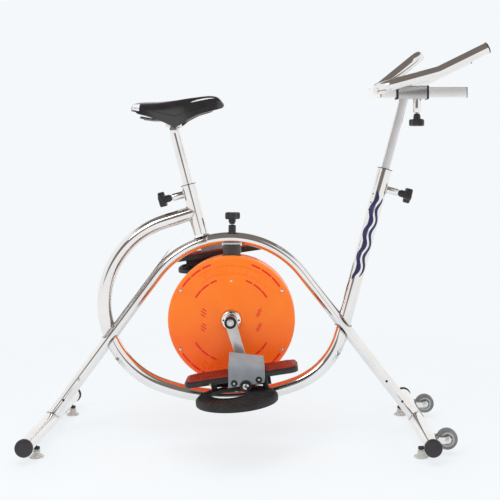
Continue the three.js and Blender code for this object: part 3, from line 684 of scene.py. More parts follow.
column_path, crossing = bent((COLUMN_TOP.x, COLUMN_TOP.z, 270 - LEAN), COLUMN_BENDS)
lower_path, rear_crossing = bent(crossing, LOWER_BENDS)
rear_path, rear_end = bent(rear_crossing, REAR_BENDS)
front_leg = math.radians(ARCH_START[2] - ARCH_BENDS[1][1])
rear_leg = math.radians(ARCH_START[2])
FRONT_OUT = Vector((-math.sin(front_leg), 0, math.cos(front_leg)))
REAR_IN = Vector((math.sin(rear_leg), 0, -math.cos(rear_leg)))
front_cross = Vector((crossing[0], 0, crossing[1]))
rear_cross = Vector((rear_crossing[0], 0, rear_crossing[1]))


def overrun(path, start=0.0, end=0.0):
    """The path run on straight past its ends."""
    path = list(path)
    if start:
        path.insert(0, path[0] + (path[0] - path[1]).normalized() * start)
    if end:
        path.append(path[-1] + (path[-1] - path[-2]).normalized() * end)
    return path


def saddled(bm, cross, away):
    """Cuts the loop where it meets a leg and returns the weld bead's path."""
    trimmed(bm, cross + away * SADDLING, -away)
    rim = [v.co.copy() for v in bm.verts
           if abs((v.co - cross).dot(away) - SADDLING) < 0.05 and (v.co - cross).length < 90]
    centre = sum(rim, Vector()) / len(rim)
    along = away.cross(Y)
    rim.sort(key=lambda p: math.atan2((p - centre).y, (p - centre).dot(along)))
    # the wall's outer edge: the farther of each pair at about the same angle
    outer = []
    for i in range(72):
        a = -math.pi + 2 * math.pi * (i + 0.5) / 72
        ray = Y * math.sin(a) + along * math.cos(a)
        near = [p for p in rim if (p - centre).normalized().dot(ray) > 0.985]
        far = max(near, key=lambda p: (p - centre).length)
        outer.append(centre + ray * (far - centre).length)
    out = []
    for p in outer:
        lift = math.sqrt(max(ARCH ** 2 - p.y ** 2, 0.0)) - SADDLING
        out.append(p + away * max(lift, 0.0))
    return out


for name, path, ends, node in (
    ("column", overrun(column_path, end=45), [(front_cross, FRONT_OUT)], "column_tube"),
    ("lower_loop", overrun(lower_path, 45, 45), [(front_cross, -FRONT_OUT), (rear_cross, REAR_IN)],
     "lower_loop_tube"),
    ("rear_loop", overrun(rear_path, start=45), [(rear_cross, -REAR_IN)], "rear_loop_tube"),
):
    tube = pipe(path, TUBE, WALL)
    beads = [saddled(tube, cross, away) for cross, away in ends]
    piece(name, tube, chrome, "frame", [node])
    for number, rim in enumerate(beads):
        piece(f"{name}_weld_{number}", bead(rim), weld_metal, "frame")

seat_foot = SEAT_TOP - SEAT_UP * SEAT_TUBE_LENGTH
piece("seat_tube_outer", pipe([seat_foot, SEAT_TOP], TUBE, WALL), chrome, "frame", ["seat_tube"])

WELDS = []  # made into pieces once every part is in place


def weld(name, *tubes, size=1.9, body="frame"):
    WELDS.append((name, bead(meeting(*tubes), size), body))


arch_radius = ARCH_BENDS[1][0]
arch_centre = arch_path[1] + REAR_IN * arch_radius
seat_spoke = (seat_foot - arch_centre).normalized()
weld("seat_weld", SEAT_TOP, -SEAT_UP, TUBE, arch_centre + seat_spoke * arch_radius,
     seat_spoke.cross(Y), ARCH)
rear_heading = (rear_path[-1] - rear_path[-2]).normalized()
weld("rear_weld", rear_path[-1] - rear_heading * 80, rear_heading, TUBE, SEAT_TOP, SEAT_UP, TUBE)
LEGS = ((arch_path[0], arch_path[1]), (arch_path[-1], arch_path[-2]))  # each leg's foot and top
for (foot, x, _), (at, above) in zip(FEET, LEGS):
    away = (above - at).normalized()
    weld(f"{foot}_foot_weld", at + away * 70, -away, ARCH, Vector((x, 0, FOOT_Z)), Y, TUBE, size=2.3)

# bosses for the clamping knobs
for name, lock, out, up in (("column", COLUMN_LOCK, COLUMN_FRONT, COLUMN_UP),
                            ("seat", SEAT_LOCK, SEAT_BACK, SEAT_UP)):
    piece(f"{name}_boss", ring(STUD_HOLE, BOSS_RADIUS, BOSS_IN + 3, BOSS_OUT, lock, out, soft=1.2),
          chrome, "frame")
    weld(f"{name}_boss_weld", lock + out * BOSS_OUT, -out, BOSS_RADIUS, lock, up, TUBE, size=1.5)

for foot, x, _ in FEET:
    ends = [Vector((x, side * FOOT_HALF, FOOT_Z)) for side in (-1, 1)]
    piece(f"{foot}_foot", pipe(ends, TUBE, WALL, up=Z, sides=56), chrome, "frame",
          [f"{foot}_foot_tube"])

for side_name, side in SIDES:
    axis = Y * side
    for foot, x, cup_x in FEET:
        end = Vector((x, side * FOOT_HALF, FOOT_Z))
        piece(f"{foot}_cap_{side_name}", turned_soft(
            [(0, -18), (18.6, -18), (18.6, 0.2), (24, 0.2), (24, 7.2), (21.2, 9.8), (12, 10.5),
             (0, 10.5)], 1.5, end, axis, sides=64), cap_plastic, "frame",
              [f"{foot}_end_cap_{side_name}"])
        foot_at = Vector((cup_x, side * CUP_Y, 0))
        piece(f"{foot}_cup_{side_name}", turned(
            [(0, 7.5), (5, 7), (11, 4.2), (17, 1.2), (19.4, 0), (20, 0.7), (19.2, 2.2), (14, 5.6),
             (10.4, 9.5), (9.4, 12), (9.8, 14.5), (9.2, 17), (6.5, 18), (6.5, 21), (0, 21)],
            foot_at, Z, sides=48), cup_rubber, "frame", [f"{foot}_suction_cup_{side_name}"])
        piece(f"{foot}_cup_stem_{side_name}", turned_soft(
            [(0, 16), (5.4, 16), (5.4, 21), (8.4, 21), (8.4, 27), (0, 27)], 0.5, foot_at, Z, sides=28),
              dull_black, "frame")

# plugs in the legs' holes, and one bolt
for number, (leg, above) in enumerate(LEGS):
    along = (above - leg).normalized()
    for spot, distance in (("low", 72), ("high", 146)):
        at = leg + along * distance - Y * ARCH
        if (number, spot) == (0, "high"):
            piece("leg_bolt", socket_screw(at + Y * 1.2, -Y, 4.6, 3.2), bright_steel, "frame")
        else:
            piece(f"leg_plug_{number}_{spot}", turned_soft(
                [(0, -1.5), (3.6, -1.5), (3.6, 0.9), (2.2, 1.2), (0, 1.0)], 0.3, at, -Y, sides=28),
                  dull_black, "frame")

# ---------------------------------------------------------------- transport wheels on forks
for side_name, side in SIDES:
    hub_at = Vector((WHEEL_X, side * WHEEL_Y, WHEEL_Z))
    reach = WHEEL_HALF + 1.5
    plates = []
    for edge in (-1, 1):
        y0 = hub_at.y + edge * reach + (-3 if edge < 0 else 0)
        root = FRONT_FOOT_X + 17
        cheek = [(root, WHEEL_Z - 10), *arc2d(10, -90, 90, 15, WHEEL_X, WHEEL_Z), (root, WHEEL_Z + 10)]
        plates.append(bevelled(prism(cheek, y0, y0 + 3), 0.5))
        weld(f"fork_weld_{side_name}_{edge}", Vector((WHEEL_X, y0 + 1.5, WHEEL_Z)), -X, 2.6,
             Vector((FRONT_FOOT_X, 0, FOOT_Z)), Y, TUBE, size=1.3)
    heads = [hex_head(hub_at + Y * e * (reach + 3), Y * e, 11, 4.2) for e in (-1, 1)]
    piece(f"fork_{side_name}", merge(*plates), chrome, "frame")
    piece(f"wheel_bolt_{side_name}", merge(*heads), bright_steel, "frame")
    body = f"wheel_{side_name}"
    r, h = WHEEL_RADIUS, WHEEL_HALF
    piece(f"tyre_{side_name}", turned_soft(
        [(19.5, -h), (25, -h), (r, -h + 3), (r, h - 3), (25, h), (19.5, h)], 2.2, hub_at, Y, sides=72,
        closed=True), wheel_rubber, body, [f"transport_wheel_{side_name}"])
    core = [turned_soft([(14, -h + 1), (20, -h + 0.4), (20, h - 0.4), (14, h - 1)], 0.6, hub_at, Y,
                        sides=60, closed=True),
            ring(4.6, 8.4, -h + 0.2, h - 0.2, hub_at, Y, sides=40, soft=0.6),
            ring(8, 14.5, -3, 3, hub_at, Y, sides=60)]
    for k in range(6):
        spoke = block((7.5, 15), (-h + 2, h - 2), (-1.3, 1.3))
        turn = Matrix.Rotation(math.radians(60 * k), 4, "Y")
        core.append(moved(spoke, Matrix.Translation(hub_at) @ turn))
    piece(f"rim_{side_name}", merge(*core), wheel_core, body)

# ---------------------------------------------------------------- crank carrier
piece("top_clamp_block", bevelled(block((-26, 26), (-14, 14), (527, 552)), 1.4), dark_steel, "frame",
      ["top_bracket"])
cap = carved(block((-29, 29), (-15, 15), (550, 560.5)), rod(5.4, 545, 565))
piece("top_clamp_plate", bevelled(cap, 0.7), bright_steel, "frame")
for number, x in enumerate((-14.5, 14.5)):
    slot = (X + Z * (0.6 - number)).normalized()
    piece(f"clamp_screw_{number}", slotted_screw(Vector((x, -14, 542)), -Y, 6.3, slot),
          bright_steel, "frame")
piece("bottom_clamp_block", bevelled(block((-24, 24), (-14, 14), (128, 156)), 1.4), dark_steel, "frame",
      ["bottom_bracket"])
nuts = [hex_head(Vector((x, -14, 134)), -Y, 10, 4.5) for x in (-14, 14)]
piece("clamp_nuts", merge(*nuts), bright_steel, "frame")
carrier = merge(
    bevelled(block((-25, 25), (-19, -14.3), (128, 553)), 0.8),
    ring(16, 21, -14, 46, HUB, -Y, sides=56, soft=1),
)
piece("carrier_plate", carrier, dark_steel, "frame", ["hanger_plate"])

# ---------------------------------------------------------------- drum casing
CASE_PROFILE = [
    (CASE_RADIUS, 0.3), (CASE_RADIUS, 38), (CASE_RADIUS - 1.4, 42.5), (CASE_RADIUS - 7, CASE_HALF),
    (36, CASE_HALF), (34.5, CASE_HALF + 1.4), (31, CASE_HALF + 1.4), (30, CASE_HALF),
    (24, CASE_HALF), (24, CASE_HALF - 3), (CASE_RADIUS - 9, CASE_HALF - 3), (CASE_RADIUS - 3, 37),
    (CASE_RADIUS - 3, 0.3),
]
OUTER_VENTS = (168, ((111, 119), (122, 132), (134.5, 145)))
INNER_VENTS = (120, ((111, 119), (123, 134), (136.5, 147)))
VENT = 5.0  # width of a vent slot
SCREW_CIRCLE, SCREW_ANGLE = 167, 30
NOTCHES = ((494, 530), (150, 186))  # heights of the casing's cut-outs for the brackets
RIB_SPANS, RIB_CIRCLES = ((52, 128), (232, 308)), (136, 158)


def arc_band(radius, width, start, end, y0, y1):
    """A curved bar with round ends about the crank axis, in degrees from forwards."""
    step = 2.0
    a0, a1 = math.radians(start), math.radians(end)
    count = max(2, round((end - start) / step))
    half = width / 2

    def polar(r, a):
        return (r * math.cos(a), CRANK_Z + r * math.sin(a))

    def nose(a, first):
        middle = polar(radius, a)
        return [(middle[0] + half * math.cos(first + t), middle[1] + half * math.sin(first + t))
                for t in (math.pi * k / 6 for k in range(1, 6))]
    angles = [a0 + (a1 - a0) * k / count for k in range(count + 1)]
    outline = [polar(radius + half, a) for a in angles] + nose(a1, a1)
    outline += [polar(radius - half, a) for a in reversed(angles)] + nose(a0, a0 + math.pi)
    return prism(outline, y0, y1)


def vents(y0, y1, grow=0.0):
    """Every vent slot of one face, the same in all four quarters."""
    bands = []
    for radius, spans in (OUTER_VENTS, INNER_VENTS):
        for a, b in spans:
            for start, end in ((a, b), (180 - b, 180 - a), (360 - b, 360 - a), (180 + a, 180 + b)):
                bands.append(arc_band(radius, VENT + grow, start, end, y0, y1))
    # four fans of short slots beside the hub
    for x in (-79, 79):
        for z in (-21, 21):
            for k, length in ((-1, 13), (0, 19), (1, 13)):
                bar = block((-length / 2, length / 2), (y0, y1), (-1.7, 1.7))
                turn = Matrix.Rotation(math.radians(35 if x < 0 else -35), 4, "Y")
                place = Matrix.Translation((x + k * 2, 0, CRANK_Z + z + k * 8))
                bands.append(moved(bar, place @ turn))
    return bands


for side_name, side in SIDES:
    notches = [block((-28, 28), (-22, 9), heights) for heights in NOTCHES]
    shell = flipped(turned_soft(CASE_PROFILE, 2.2, HUB, Y, sides=192, closed=True), side)
    inner, outer = sorted((side * (CASE_HALF - 1.6), side * (CASE_HALF + 3)))
    sinks = vents(inner, outer)
    for k in range(4):
        a = math.radians(SCREW_ANGLE + (180 - 2 * SCREW_ANGLE) * (k % 2) + 180 * (k // 2))
        at = HUB + Vector((math.cos(a), 0, math.sin(a))) * SCREW_CIRCLE + Y * side * CASE_HALF
        sinks.append(rod(6.2, -1.2, 4, at, Y * side, sides=32))
        piece(f"case_screw_{side_name}_{k}", socket_screw(at - Y * side * 1.2, Y * side, 4.9, 2.6),
              bright_steel, "frame")
    top = HUB + Vector((0, side * CASE_HALF, 111))
    piece(f"case_pin_{side_name}", socket_screw(top, Y * side, 3.6, 1.6), bright_steel, "frame")
    piece(f"case_{side_name}", carved(shell, *notches, *sinks), orange_plastic, "frame",
          [f"casing_{side_name}"], sharp=40)
    # red backing in every slot, just under the face
    low, high = sorted((side * (CASE_HALF - 2.0), side * (CASE_HALF - 0.5)))
    piece(f"vent_back_{side_name}", merge(*vents(low, high, grow=-0.3)), red_insert, "frame")
    # low ribs pressed into the face above and below the hub
    ribs = []
    y = side * (CASE_HALF - 0.3)
    for start, end in RIB_SPANS:
        for radius in RIB_CIRCLES:
            arc = [HUB + Vector((x, y, z)) for x, z in arc2d(radius, start, end, 2)]
            ribs.append(pipe(arc, 1.7, up=Y, sides=16))
        for a in range(start + 4, end, 8):
            ray = Vector((math.cos(math.radians(a)), 0, math.sin(math.radians(a))))
            ribs.append(pipe([HUB + ray * 139 + Y * y, HUB + ray * 155 + Y * y], 1.7, up=Y, sides=16))
    piece(f"case_ribs_{side_name}", merge(*ribs), orange_plastic, "frame")

    flange_at = HUB + Y * side * CASE_HALF
    piece(f"flange_{side_name}", turned_soft(
        [(10.7, 0.3), (27.5, 0.3), (27.5, 3.4), (24, 5.6), (18.5, 6), (10.7, 6)], 0.8, flange_at,
        Y * side, sides=72, closed=True), chrome, "frame", [f"hub_flange_{side_name}"])
    for k in range(4):
        a = math.radians(90 * k)
        at = flange_at + Vector((math.cos(a), 0, math.sin(a))) * 22 + Y * side * 5.2
        piece(f"flange_bolt_{side_name}_{k}", socket_screw(at, Y * side, 2.9, 1.9), dull_black, "frame")

piece("case_seam", ring(CASE_RADIUS - 2.5, CASE_RADIUS - 0.7, -0.5, 0.5, HUB, Y, sides=160),
      red_insert, "frame")

# ---------------------------------------------------------------- brake screw
piece("brake_collar_ring", turned_soft(
    [(STUD_HOLE, 583), (10.9, 583), (10.9, 606.5), (9.4, 609), (STUD_HOLE, 609)], 1.0, closed=True),
      black_plastic, "frame", ["brake_collar"])
add_knob("brake_knob", Vector((0, 0, 612)), Z, 106, 14, "brake_knob")

# ---------------------------------------------------------------- cranks
for side_name, side in SIDES:
    swing = math.radians(CRANK_ANGLE if side < 0 else CRANK_ANGLE + 180)
    down = Vector((math.sin(swing), 0, -math.cos(swing)))
    out = Y * side
    arm = arc2d(16, 0, 180, 9) + arc2d(13.5, 180, 360, 9, z=-CRANK_LENGTH)
    bar = bevelled(prism(arm, ARM_IN, ARM_OUT), 1.6, 3)
    turn = Matrix.Translation(HUB) @ Matrix.Rotation(-swing, 4, "Y")
    hub = ring(9, 15.5, 58, ARM_IN + 2, ORIGIN, Y, soft=1)
    piece(f"crank_{side_name}", moved(flipped(merge(bar, hub), side), turn), crank_steel, "crank",
          [f"crank_arm_{side_name}"])
    piece(f"crank_cap_{side_name}", turned_soft(
        [(10.2, ARM_OUT - 1), (17, ARM_OUT - 1), (17, 96.6), (15.4, 98), (11.4, 98), (10.2, 95)], 0.7,
        HUB, out, sides=56, closed=True), dull_black, "crank")
    piece(f"crank_bolt_{side_name}", merge(
        rod(9.9, ARM_OUT - 1, 95, HUB, out, soft=0.5),
        hex_head(HUB + out * 95, out, 12, 3.0, washer=False)), bright_steel, "crank")
    eye = HUB + down * CRANK_LENGTH
    end = PEDAL_OUT + STRAP_THICK + 0.6
    piece(f"spindle_{side_name}", rod(SPINDLE, ARM_IN + 1, end + 2, eye, out, sides=40, soft=0.6),
          bright_steel, "crank", [f"pedal_spindle_{side_name}"])
    piece(f"spindle_washer_{side_name}", turned_soft(
        [(SPINDLE - 1, end), (16.5, end), (16.5, end + 2.6), (12.5, end + 3.6), (8.8, end + 2.2),
         (SPINDLE - 1, end + 2.2)], 0.6, eye, out, sides=56, closed=True), dull_black, "crank")
    piece(f"spindle_bolt_{side_name}", socket_screw(eye + out * (end + 1.8), out, 9.2, 5.0),
          bright_steel, "crank")


# ---------------------------------------------------------------- pedals
def stadium(length, width, corner):
    """Plan outline with rounded corners, as (x, y) about the middle."""
    x, y = length / 2 - corner, width / 2 - corner
    out = []
    for cx, cy, first in ((x, y, 0), (-x, y, 90), (-x, -y, 180), (x, -y, 270)):
        out += arc2d(corner, first, first + 90, 10, cx, cy)
    return out


def slab(outline, z0, z1, middle_y):
    """A flat plate with that plan, set back behind the spindle as the platform is."""
    return skin([[Vector((x - PLATFORM_BACK, y + middle_y, z)) for x, y in outline] for z in (z0, z1)])


def add_pedal(side_name, side):
    middle = (PEDAL_IN + PEDAL_OUT) / 2
    width = PEDAL_OUT - PEDAL_IN
    deck = PLATFORM_FLOOR + PLATFORM_THICK
    swing = math.radians(CRANK_ANGLE)
    eye = HUB + Vector((-side * math.sin(swing), 0, side * math.cos(swing))) * CRANK_LENGTH
    place = Matrix.Translation(eye) @ Matrix.Rotation(-math.radians(PEDAL_TILT), 4, "Y")
    body = f"pedal_{side_name}"

    def put(name, bm, material, replaces=(), **more):
        placed = moved(flipped(bm, side), place)
        return piece(f"{name}_{side_name}", placed, material, body, replaces, **more)

    skin_thick = 4
    tray = carved(
        bevelled(slab(stadium(PLATFORM_LENGTH, width, 22), PLATFORM_FLOOR, deck, middle), 2.2, 3),
        slab(stadium(PLATFORM_LENGTH - 8, width - 8, 18), PLATFORM_FLOOR - 5, deck - skin_thick, middle))
    ribs = [block((x - 1.2, x + 1.2), (PEDAL_IN + 3, PEDAL_OUT - 3), (PLATFORM_FLOOR + 1, deck - 3))
            for x in range(-140, 121, 26) if abs(x) > 15]
    ribs.append(block((-156, 136), (middle - 1.2, middle + 1.2), (PLATFORM_FLOOR + 1, deck - 3)))
    hub = carved(
        merge(rod(13, PEDAL_IN, PEDAL_OUT, ORIGIN, Y, soft=1),
              block((-13.5, 13.5), (PEDAL_IN, PEDAL_OUT), (2, deck - 1))),
        rod(7.8, PEDAL_IN - 5, PEDAL_OUT + 5, ORIGIN, Y))
    put("pedal_platform", merge(tray, hub, *ribs), black_plastic, [f"pedal_body_{side_name}"])

    # tread: a thin rubber mat with cross ribs
    base = deck + 0.3
    top = base + TREAD_THICK
    mat = bevelled(slab(stadium(PLATFORM_LENGTH - 8, width - 8, 18), base, top - 1.6, middle), 0.8)
    bars = []
    pitch = 5.0
    count = int((PLATFORM_LENGTH - 30) / pitch)
    for k in range(count + 1):
        x = (k - count / 2) * pitch
        inset = max(0.0, abs(x) - (PLATFORM_LENGTH / 2 - 26)) * 1.1
        x -= PLATFORM_BACK
        bars.append(block((x - 1.3, x + 1.3), (PEDAL_IN + 6 + inset, PEDAL_OUT - 6 - inset),
                          (top - 2, top)))
    put("pedal_mat", merge(mat, bevelled(merge(*bars), 0.4, 1)), tread_rubber,
        [f"pedal_tread_{side_name}"])
    at = Vector((-95, PEDAL_OUT - 0.4, PLATFORM_FLOOR + 3))
    put("side_screw", socket_screw(at, Y, 3.4, 2.2), brass)

    # foot strap: a band bolted outside, over the foot, landing inside on the tread
    half = STRAP_THICK / 2
    outer = PEDAL_OUT + 0.3 + half
    route = rounded([
        Vector((0, outer, 2)), Vector((0, outer, 62)), Vector((0, middle, STRAP_TOP + 4)),
        Vector((0, PEDAL_IN + 6, 62)), Vector((0, PEDAL_IN + 9, top + 0.3)),
    ], 24, step=4)
    path = resampled(route, 3.0, closed=False)
    total = len(path)
    across = 25
    rows = []
    for i, p in enumerate(path):
        t = i / (total - 1)
        normal = (path[min(i + 1, total - 1)] - path[max(i - 1, 0)]).normalized().cross(X)
        # a little wider at its bolted end, puckered where it turns
        spread = STRAP_HALF * (0.985 - 0.05 * math.sin(math.pi * t) + 0.015 * math.sin(9 * t))
        face, back = [], []
        for k in range(across + 1):
            s = 2 * k / across - 1
            crease = 0.42 * math.sin(7 * s + 5 * t) * math.sin(3.1 * s * s + 2.0)
            thick = half * (0.55 if abs(s) > 0.985 else 0.92)
            # the band hangs upright over the tilted platform and sags towards the toes
            hang = math.sin(math.pi * t) ** 0.6
            sag = X * 11 * hang - Z * (9 + 13 * s) * hang ** 1.5
            spot = p + X * s * spread + normal * crease + sag
            face.append(spot + normal * thick)
            back.append(spot - normal * thick)
        rows.append(face + back[::-1])
    hole = rod(8, PEDAL_OUT - 5, PEDAL_OUT + 15, ORIGIN, Y)
    put("strap", carved(skin(rows), hole), strap_band, [f"foot_strap_{side_name}"], sharp=50)
    for number, (x, z) in enumerate(((-30, 12), (37, 12))):
        at = Vector((x, outer + half - 0.3, z))
        put(f"strap_washer_{number}", rod(8.8, 0, 1.5, at, Y, sides=36, soft=0.4), dull_black)
        put(f"strap_bolt_{number}", socket_screw(at + Y * 1.4, Y, 3.9, 3.0), bright_steel)

    # drag dish: a shallow bowl with a rolled rim, ribs and an off-centre hole
    r = DISH_RADIUS
    eye_at = X * DISH_EYE
    bowl = turned_soft([
        (0, 0), (r - 6, -5), (r, -11), (r, -DISH_DEPTH), (r - 4, -DISH_DEPTH), (r - 4, -13),
        (r - 8, -9.5), (0, -3.5),
    ], 1.4, sides=120)
    eyelet = rod(DISH_HOLE, -20, 20, eye_at, sides=72)
    lie = (Matrix.Translation((-DISH_BACK, PEDAL_IN + r, DISH_TOP))
           @ Matrix.Rotation(math.radians(DISH_DROP), 4, "Y"))

    def notched(bm):
        notch = rod(DISH_NOTCH, PEDAL_IN - 7, PEDAL_OUT + 15, ORIGIN, Y)
        return carved(bm, moved(notch, lie.inverted()))

    # ribs from the hole to the edge, left out where the notch would cut them
    ribs = []
    for k in range(28):
        a = 2 * math.pi * k / 28
        ray = Vector((math.cos(a), math.sin(a), 0))
        near, far = eye_at + ray * (DISH_HOLE + 6), ray * (r - 9)
        spots = [lie @ near.lerp(far, t) for t in (0, 0.25, 0.5, 0.75, 1)]
        if all(abs(p.x) > 20 or p.y > PEDAL_OUT + 17 for p in spots):
            ends = [near + Vector((0, 0, -2.0)), far + Vector((0, 0, -4.6))]
            ribs.append(pipe(ends, 1.5, up=Z, sides=10))
    rim = notched(ring(DISH_HOLE, DISH_HOLE + 5, -4.6, 0.4, eye_at, sides=72))
    posts = []
    for x, y in DISH_POSTS:
        foot = DISH_TOP - 5 - math.tan(math.radians(DISH_DROP)) * (x + DISH_BACK)
        head = deck - skin_thick - 0.3
        posts.append(rod(8, foot, head, Vector((x, y, 0)), sides=36, soft=0.8))
    # the cutters overlap, so they are taken away one after another
    dish = moved(merge(notched(carved(bowl, eyelet)), rim, *ribs), lie)
    # a thin web up to the platform, which hides the dish's mount
    web_top = PLATFORM_FLOOR + 2
    web = prism([(-100, -5), (66, -19), (66, web_top), (-100, web_top)], 126, 129)
    put("dish", merge(dish, web, *posts), dull_black, [f"drag_dish_{side_name}"])


for side_name, side in SIDES:
    add_pedal(side_name, side)

# ---------------------------------------------------------------- seat post, clamp and rails
post_foot = SEAT_TOP - SEAT_UP * SEAT_POST_IN
piece("seat_post_tube", merge(
    pipe([post_foot, SEAT_HEAD - SEAT_UP * 7], SEAT_POST, WALL),
    rod(11, -20, 20, SEAT_HEAD, Y, sides=56, soft=1.2),
    turned_soft([(0, -12), (SEAT_POST, -12), (SEAT_POST, -8), (10, 0), (0, 0)], 1.5, SEAT_HEAD,
                SEAT_UP, sides=56),
), chrome, "seat_post", ["seat_post"])
add_knob("seat_knob", SEAT_LOCK + SEAT_BACK * (BOSS_OUT + 3), SEAT_BACK,
         BOSS_OUT + 3 - SEAT_POST - 0.6, 18, "seat_knob")


def mouth_rim(top, up):
    """The plastic ring in the mouth of a tube."""
    return ring(18.4, 22.0, -1.6, 0.6, top, up, sides=72, soft=0.5)


piece("seat_tube_rim", mouth_rim(SEAT_TOP, SEAT_UP), black_plastic, "frame")


def from_pivot(x, y, z):
    return SEAT_HEAD + Vector((x, y, z))


# the clamp's bores and slots overlap, so they are taken away one after another
clamp = bevelled(block((SEAT_HEAD.x - CLAMP_X, SEAT_HEAD.x + CLAMP_X), (-CLAMP_Y, CLAMP_Y),
                       (SEAT_HEAD.z + 7, SEAT_HEAD.z + RAIL_Z + 6)), 2.0, 3)
slot_z = SEAT_HEAD.z + RAIL_Z
for cutter in (
    rod(11.8, -31, 31, SEAT_HEAD, Y),
    *[rod(RAIL + 0.4, -30, 30, from_pivot(0, y, RAIL_Z), X) for y in (-RAIL_Y, RAIL_Y)],
    *[block((SEAT_HEAD.x - CLAMP_X - 1, SEAT_HEAD.x + CLAMP_X + 1), (y - 1, y + 1), (slot_z, slot_z + 9))
      for y in (-RAIL_Y, RAIL_Y)],
):
    clamp = carved(clamp, cutter)
piece("saddle_clamp_jaws", clamp, bright_steel, "seat_clamp", ["saddle_clamp"], "dark_steel")
bolts = [hex_head(from_pivot(0, side * CLAMP_Y, 17), Y * side, 9, 3.5) for _, side in SIDES]
piece("clamp_bolts", merge(*bolts), bright_steel, "seat_clamp")


def rail_side(side):
    return [from_pivot(-92, side * 36, RAIL_Z + 5), from_pivot(-60, side * RAIL_Y, RAIL_Z),
            from_pivot(40, side * RAIL_Y, RAIL_Z), from_pivot(72, side * 12, RAIL_Z + 16),
            from_pivot(110, side * 10, RAIL_Z + 27)]


rails = rounded(rail_side(-1) + rail_side(1)[::-1], 9)
piece("rails", pipe(rails, RAIL, up=Y, sides=20), rail_steel, "saddle", ["saddle_rails"])

# ---------------------------------------------------------------- saddle
CROWN = ((-287, 955), (-280, 960), (-268, 963), (-245, 965), (-208, 966.5), (-165, 972),
         (-128, 978.5), (-90, 983), (-58, 984), (-40, 979), (-24, 962))
SKIRT = ((-287, 936), (-262, 930), (-235, 921), (-203, 909), (-176, 897), (-160, 892),
         (-142, 902), (-124, 916), (-87, 934), (-50, 945), (-24, 951))


def through(points, x):
    """A smooth curve through (x, value) points."""
    for (x0, a), (x1, b) in zip(points, points[1:]):
        if x <= x1 or (x1, b) == points[-1]:
            i = points.index((x0, a))
            before = points[max(i - 1, 0)]
            after = points[min(i + 2, len(points) - 1)]
            t = min(max((x - x0) / (x1 - x0), 0.0), 1.0)
            m0 = (b - before[1]) / max(x1 - before[0], 1e-6) * (x1 - x0)
            m1 = (after[1] - a) / max(after[0] - x0, 1e-6) * (x1 - x0)
            return ((2 * t ** 3 - 3 * t ** 2 + 1) * a + (t ** 3 - 2 * t ** 2 + t) * m0
                    + (-2 * t ** 3 + 3 * t ** 2) * b + (t ** 3 - t ** 2) * m1)


def share(value):
    return min(1.0, max(0.0, value))


def saddle_half(x):
    """Half width of the saddle: broad wings, a narrow nose, both ends rounded."""
    half = 20 + 56 / (1 + math.exp((x + 178) / 26))
    tail, nose = share((x - TAIL) / 26), share((NOSE - x) / 24)
    return half * math.sqrt(1 - (1 - tail) ** 2 * 0.62) * math.sqrt(1 - (1 - nose) ** 2 * 0.9)


def saddle_point(x, turn, inset=0.0):
    """Point of the cover: turn is 0 on the crest and 90 degrees at the skirt's edge."""
    s, c = math.sin(math.radians(turn)), max(math.cos(math.radians(turn)), 0.0)
    half = saddle_half(x) - inset
    edge, crest = through(SKIRT, x), through(CROWN, x) - inset
    # the wings roll over late and hang, the nose is rounder
    hang = 1 / (1 + math.exp((x + 165) / 30))
    y = half * math.copysign(abs(s) ** (0.95 - 0.12 * hang), s)
    z = edge + (crest - edge) * c ** (0.66 + 0.10 * hang)
    # a shallow channel along the middle
    z -= 1.8 * math.exp(-(y / 7.0) ** 2) * share((x + 262) / 40) * share((-70 - x) / 40)
    return Vector((x, y, z))


stations, around = 84, 40
COVER, HEM = 5.0, 9.0  # thickness of the cover's wall, and depth of its edge
rows = []
for i in range(stations + 1):
    t = i / stations
    x = TAIL + (NOSE - TAIL) * (0.5 - 0.5 * math.cos(math.pi * t)) * 0.35 + (NOSE - TAIL) * t * 0.65
    over = [saddle_point(x, -90 + 180 * k / around) for k in range(around + 1)]
    depth = min(HEM, 0.5 * (through(CROWN, x) - through(SKIRT, x)))
    turns = [88 - 176 * k / around for k in range(around + 1)]
    under = [saddle_point(x, turn, COVER) - Z * (depth - COVER) * math.cos(math.radians(turn))
             for turn in turns]
    # both ends close up by thinning the section towards its middle
    pinch = min(1.0, (i + 1.0) / 2, (stations - i + 0.4) / 3)
    middle = sum(over, Vector()) / len(over)
    rows.append([middle + (p - middle) * (0.55 + 0.45 * pinch) for p in over + under])
pad = piece("saddle_cover", skin(rows), saddle_vinyl, "saddle", ["saddle_pad"], sharp=55)


def cover_strip(name, start, end, middle, width, lift=0.25, step=2.0):
    """A thin strip lying on the saddle cover; middle and width are turns as functions of x."""
    count = int((end - start) / step)
    rows = []
    for k in range(count + 1):
        x = start + (end - start) * k / count
        turns = [middle(x) + width(x) * (j / 8 - 0.5) for j in range(9)]
        skin_points = [saddle_point(x, turn) for turn in turns]
        core = Vector((x, 0, through(SKIRT, x) + 8))
        out = [(p - core).normalized() for p in skin_points]
        rows.append([p + n * lift for p, n in zip(skin_points, out)]
                    + [p - n * 0.4 for p, n in zip(skin_points[::-1], out[::-1])])
    return piece(name, skin(rows), tail_patch, "saddle")


for side_name, side in SIDES:
    # piping along the seam between top panel and skirt, a tapering stripe, and a pale tail patch that is a
    # painted highlight
    cord = [saddle_point(TAIL + 12 + (NOSE - TAIL - 22) * k / 90, side * 74) for k in range(91)]
    piece(f"saddle_piping_{side_name}", pipe(cord, 0.9, up=Z, sides=10), dull_black, "saddle")
    cover_strip(f"nose_stripe_{side_name}", -118, -52, lambda x: side * (50 - (x + 118) * 0.12),
                lambda x: 1.0 + 8.0 * math.sin(math.pi * (x + 118) / 66) ** 0.7)
    # the pale patch on the tail's flank is a painted highlight of light glinting on the glossy vinyl
    cover_strip(f"tail_painted_highlight_{side_name}", -281, -259, lambda x: side * 66, lambda x: 38, 0.4, 1.0)

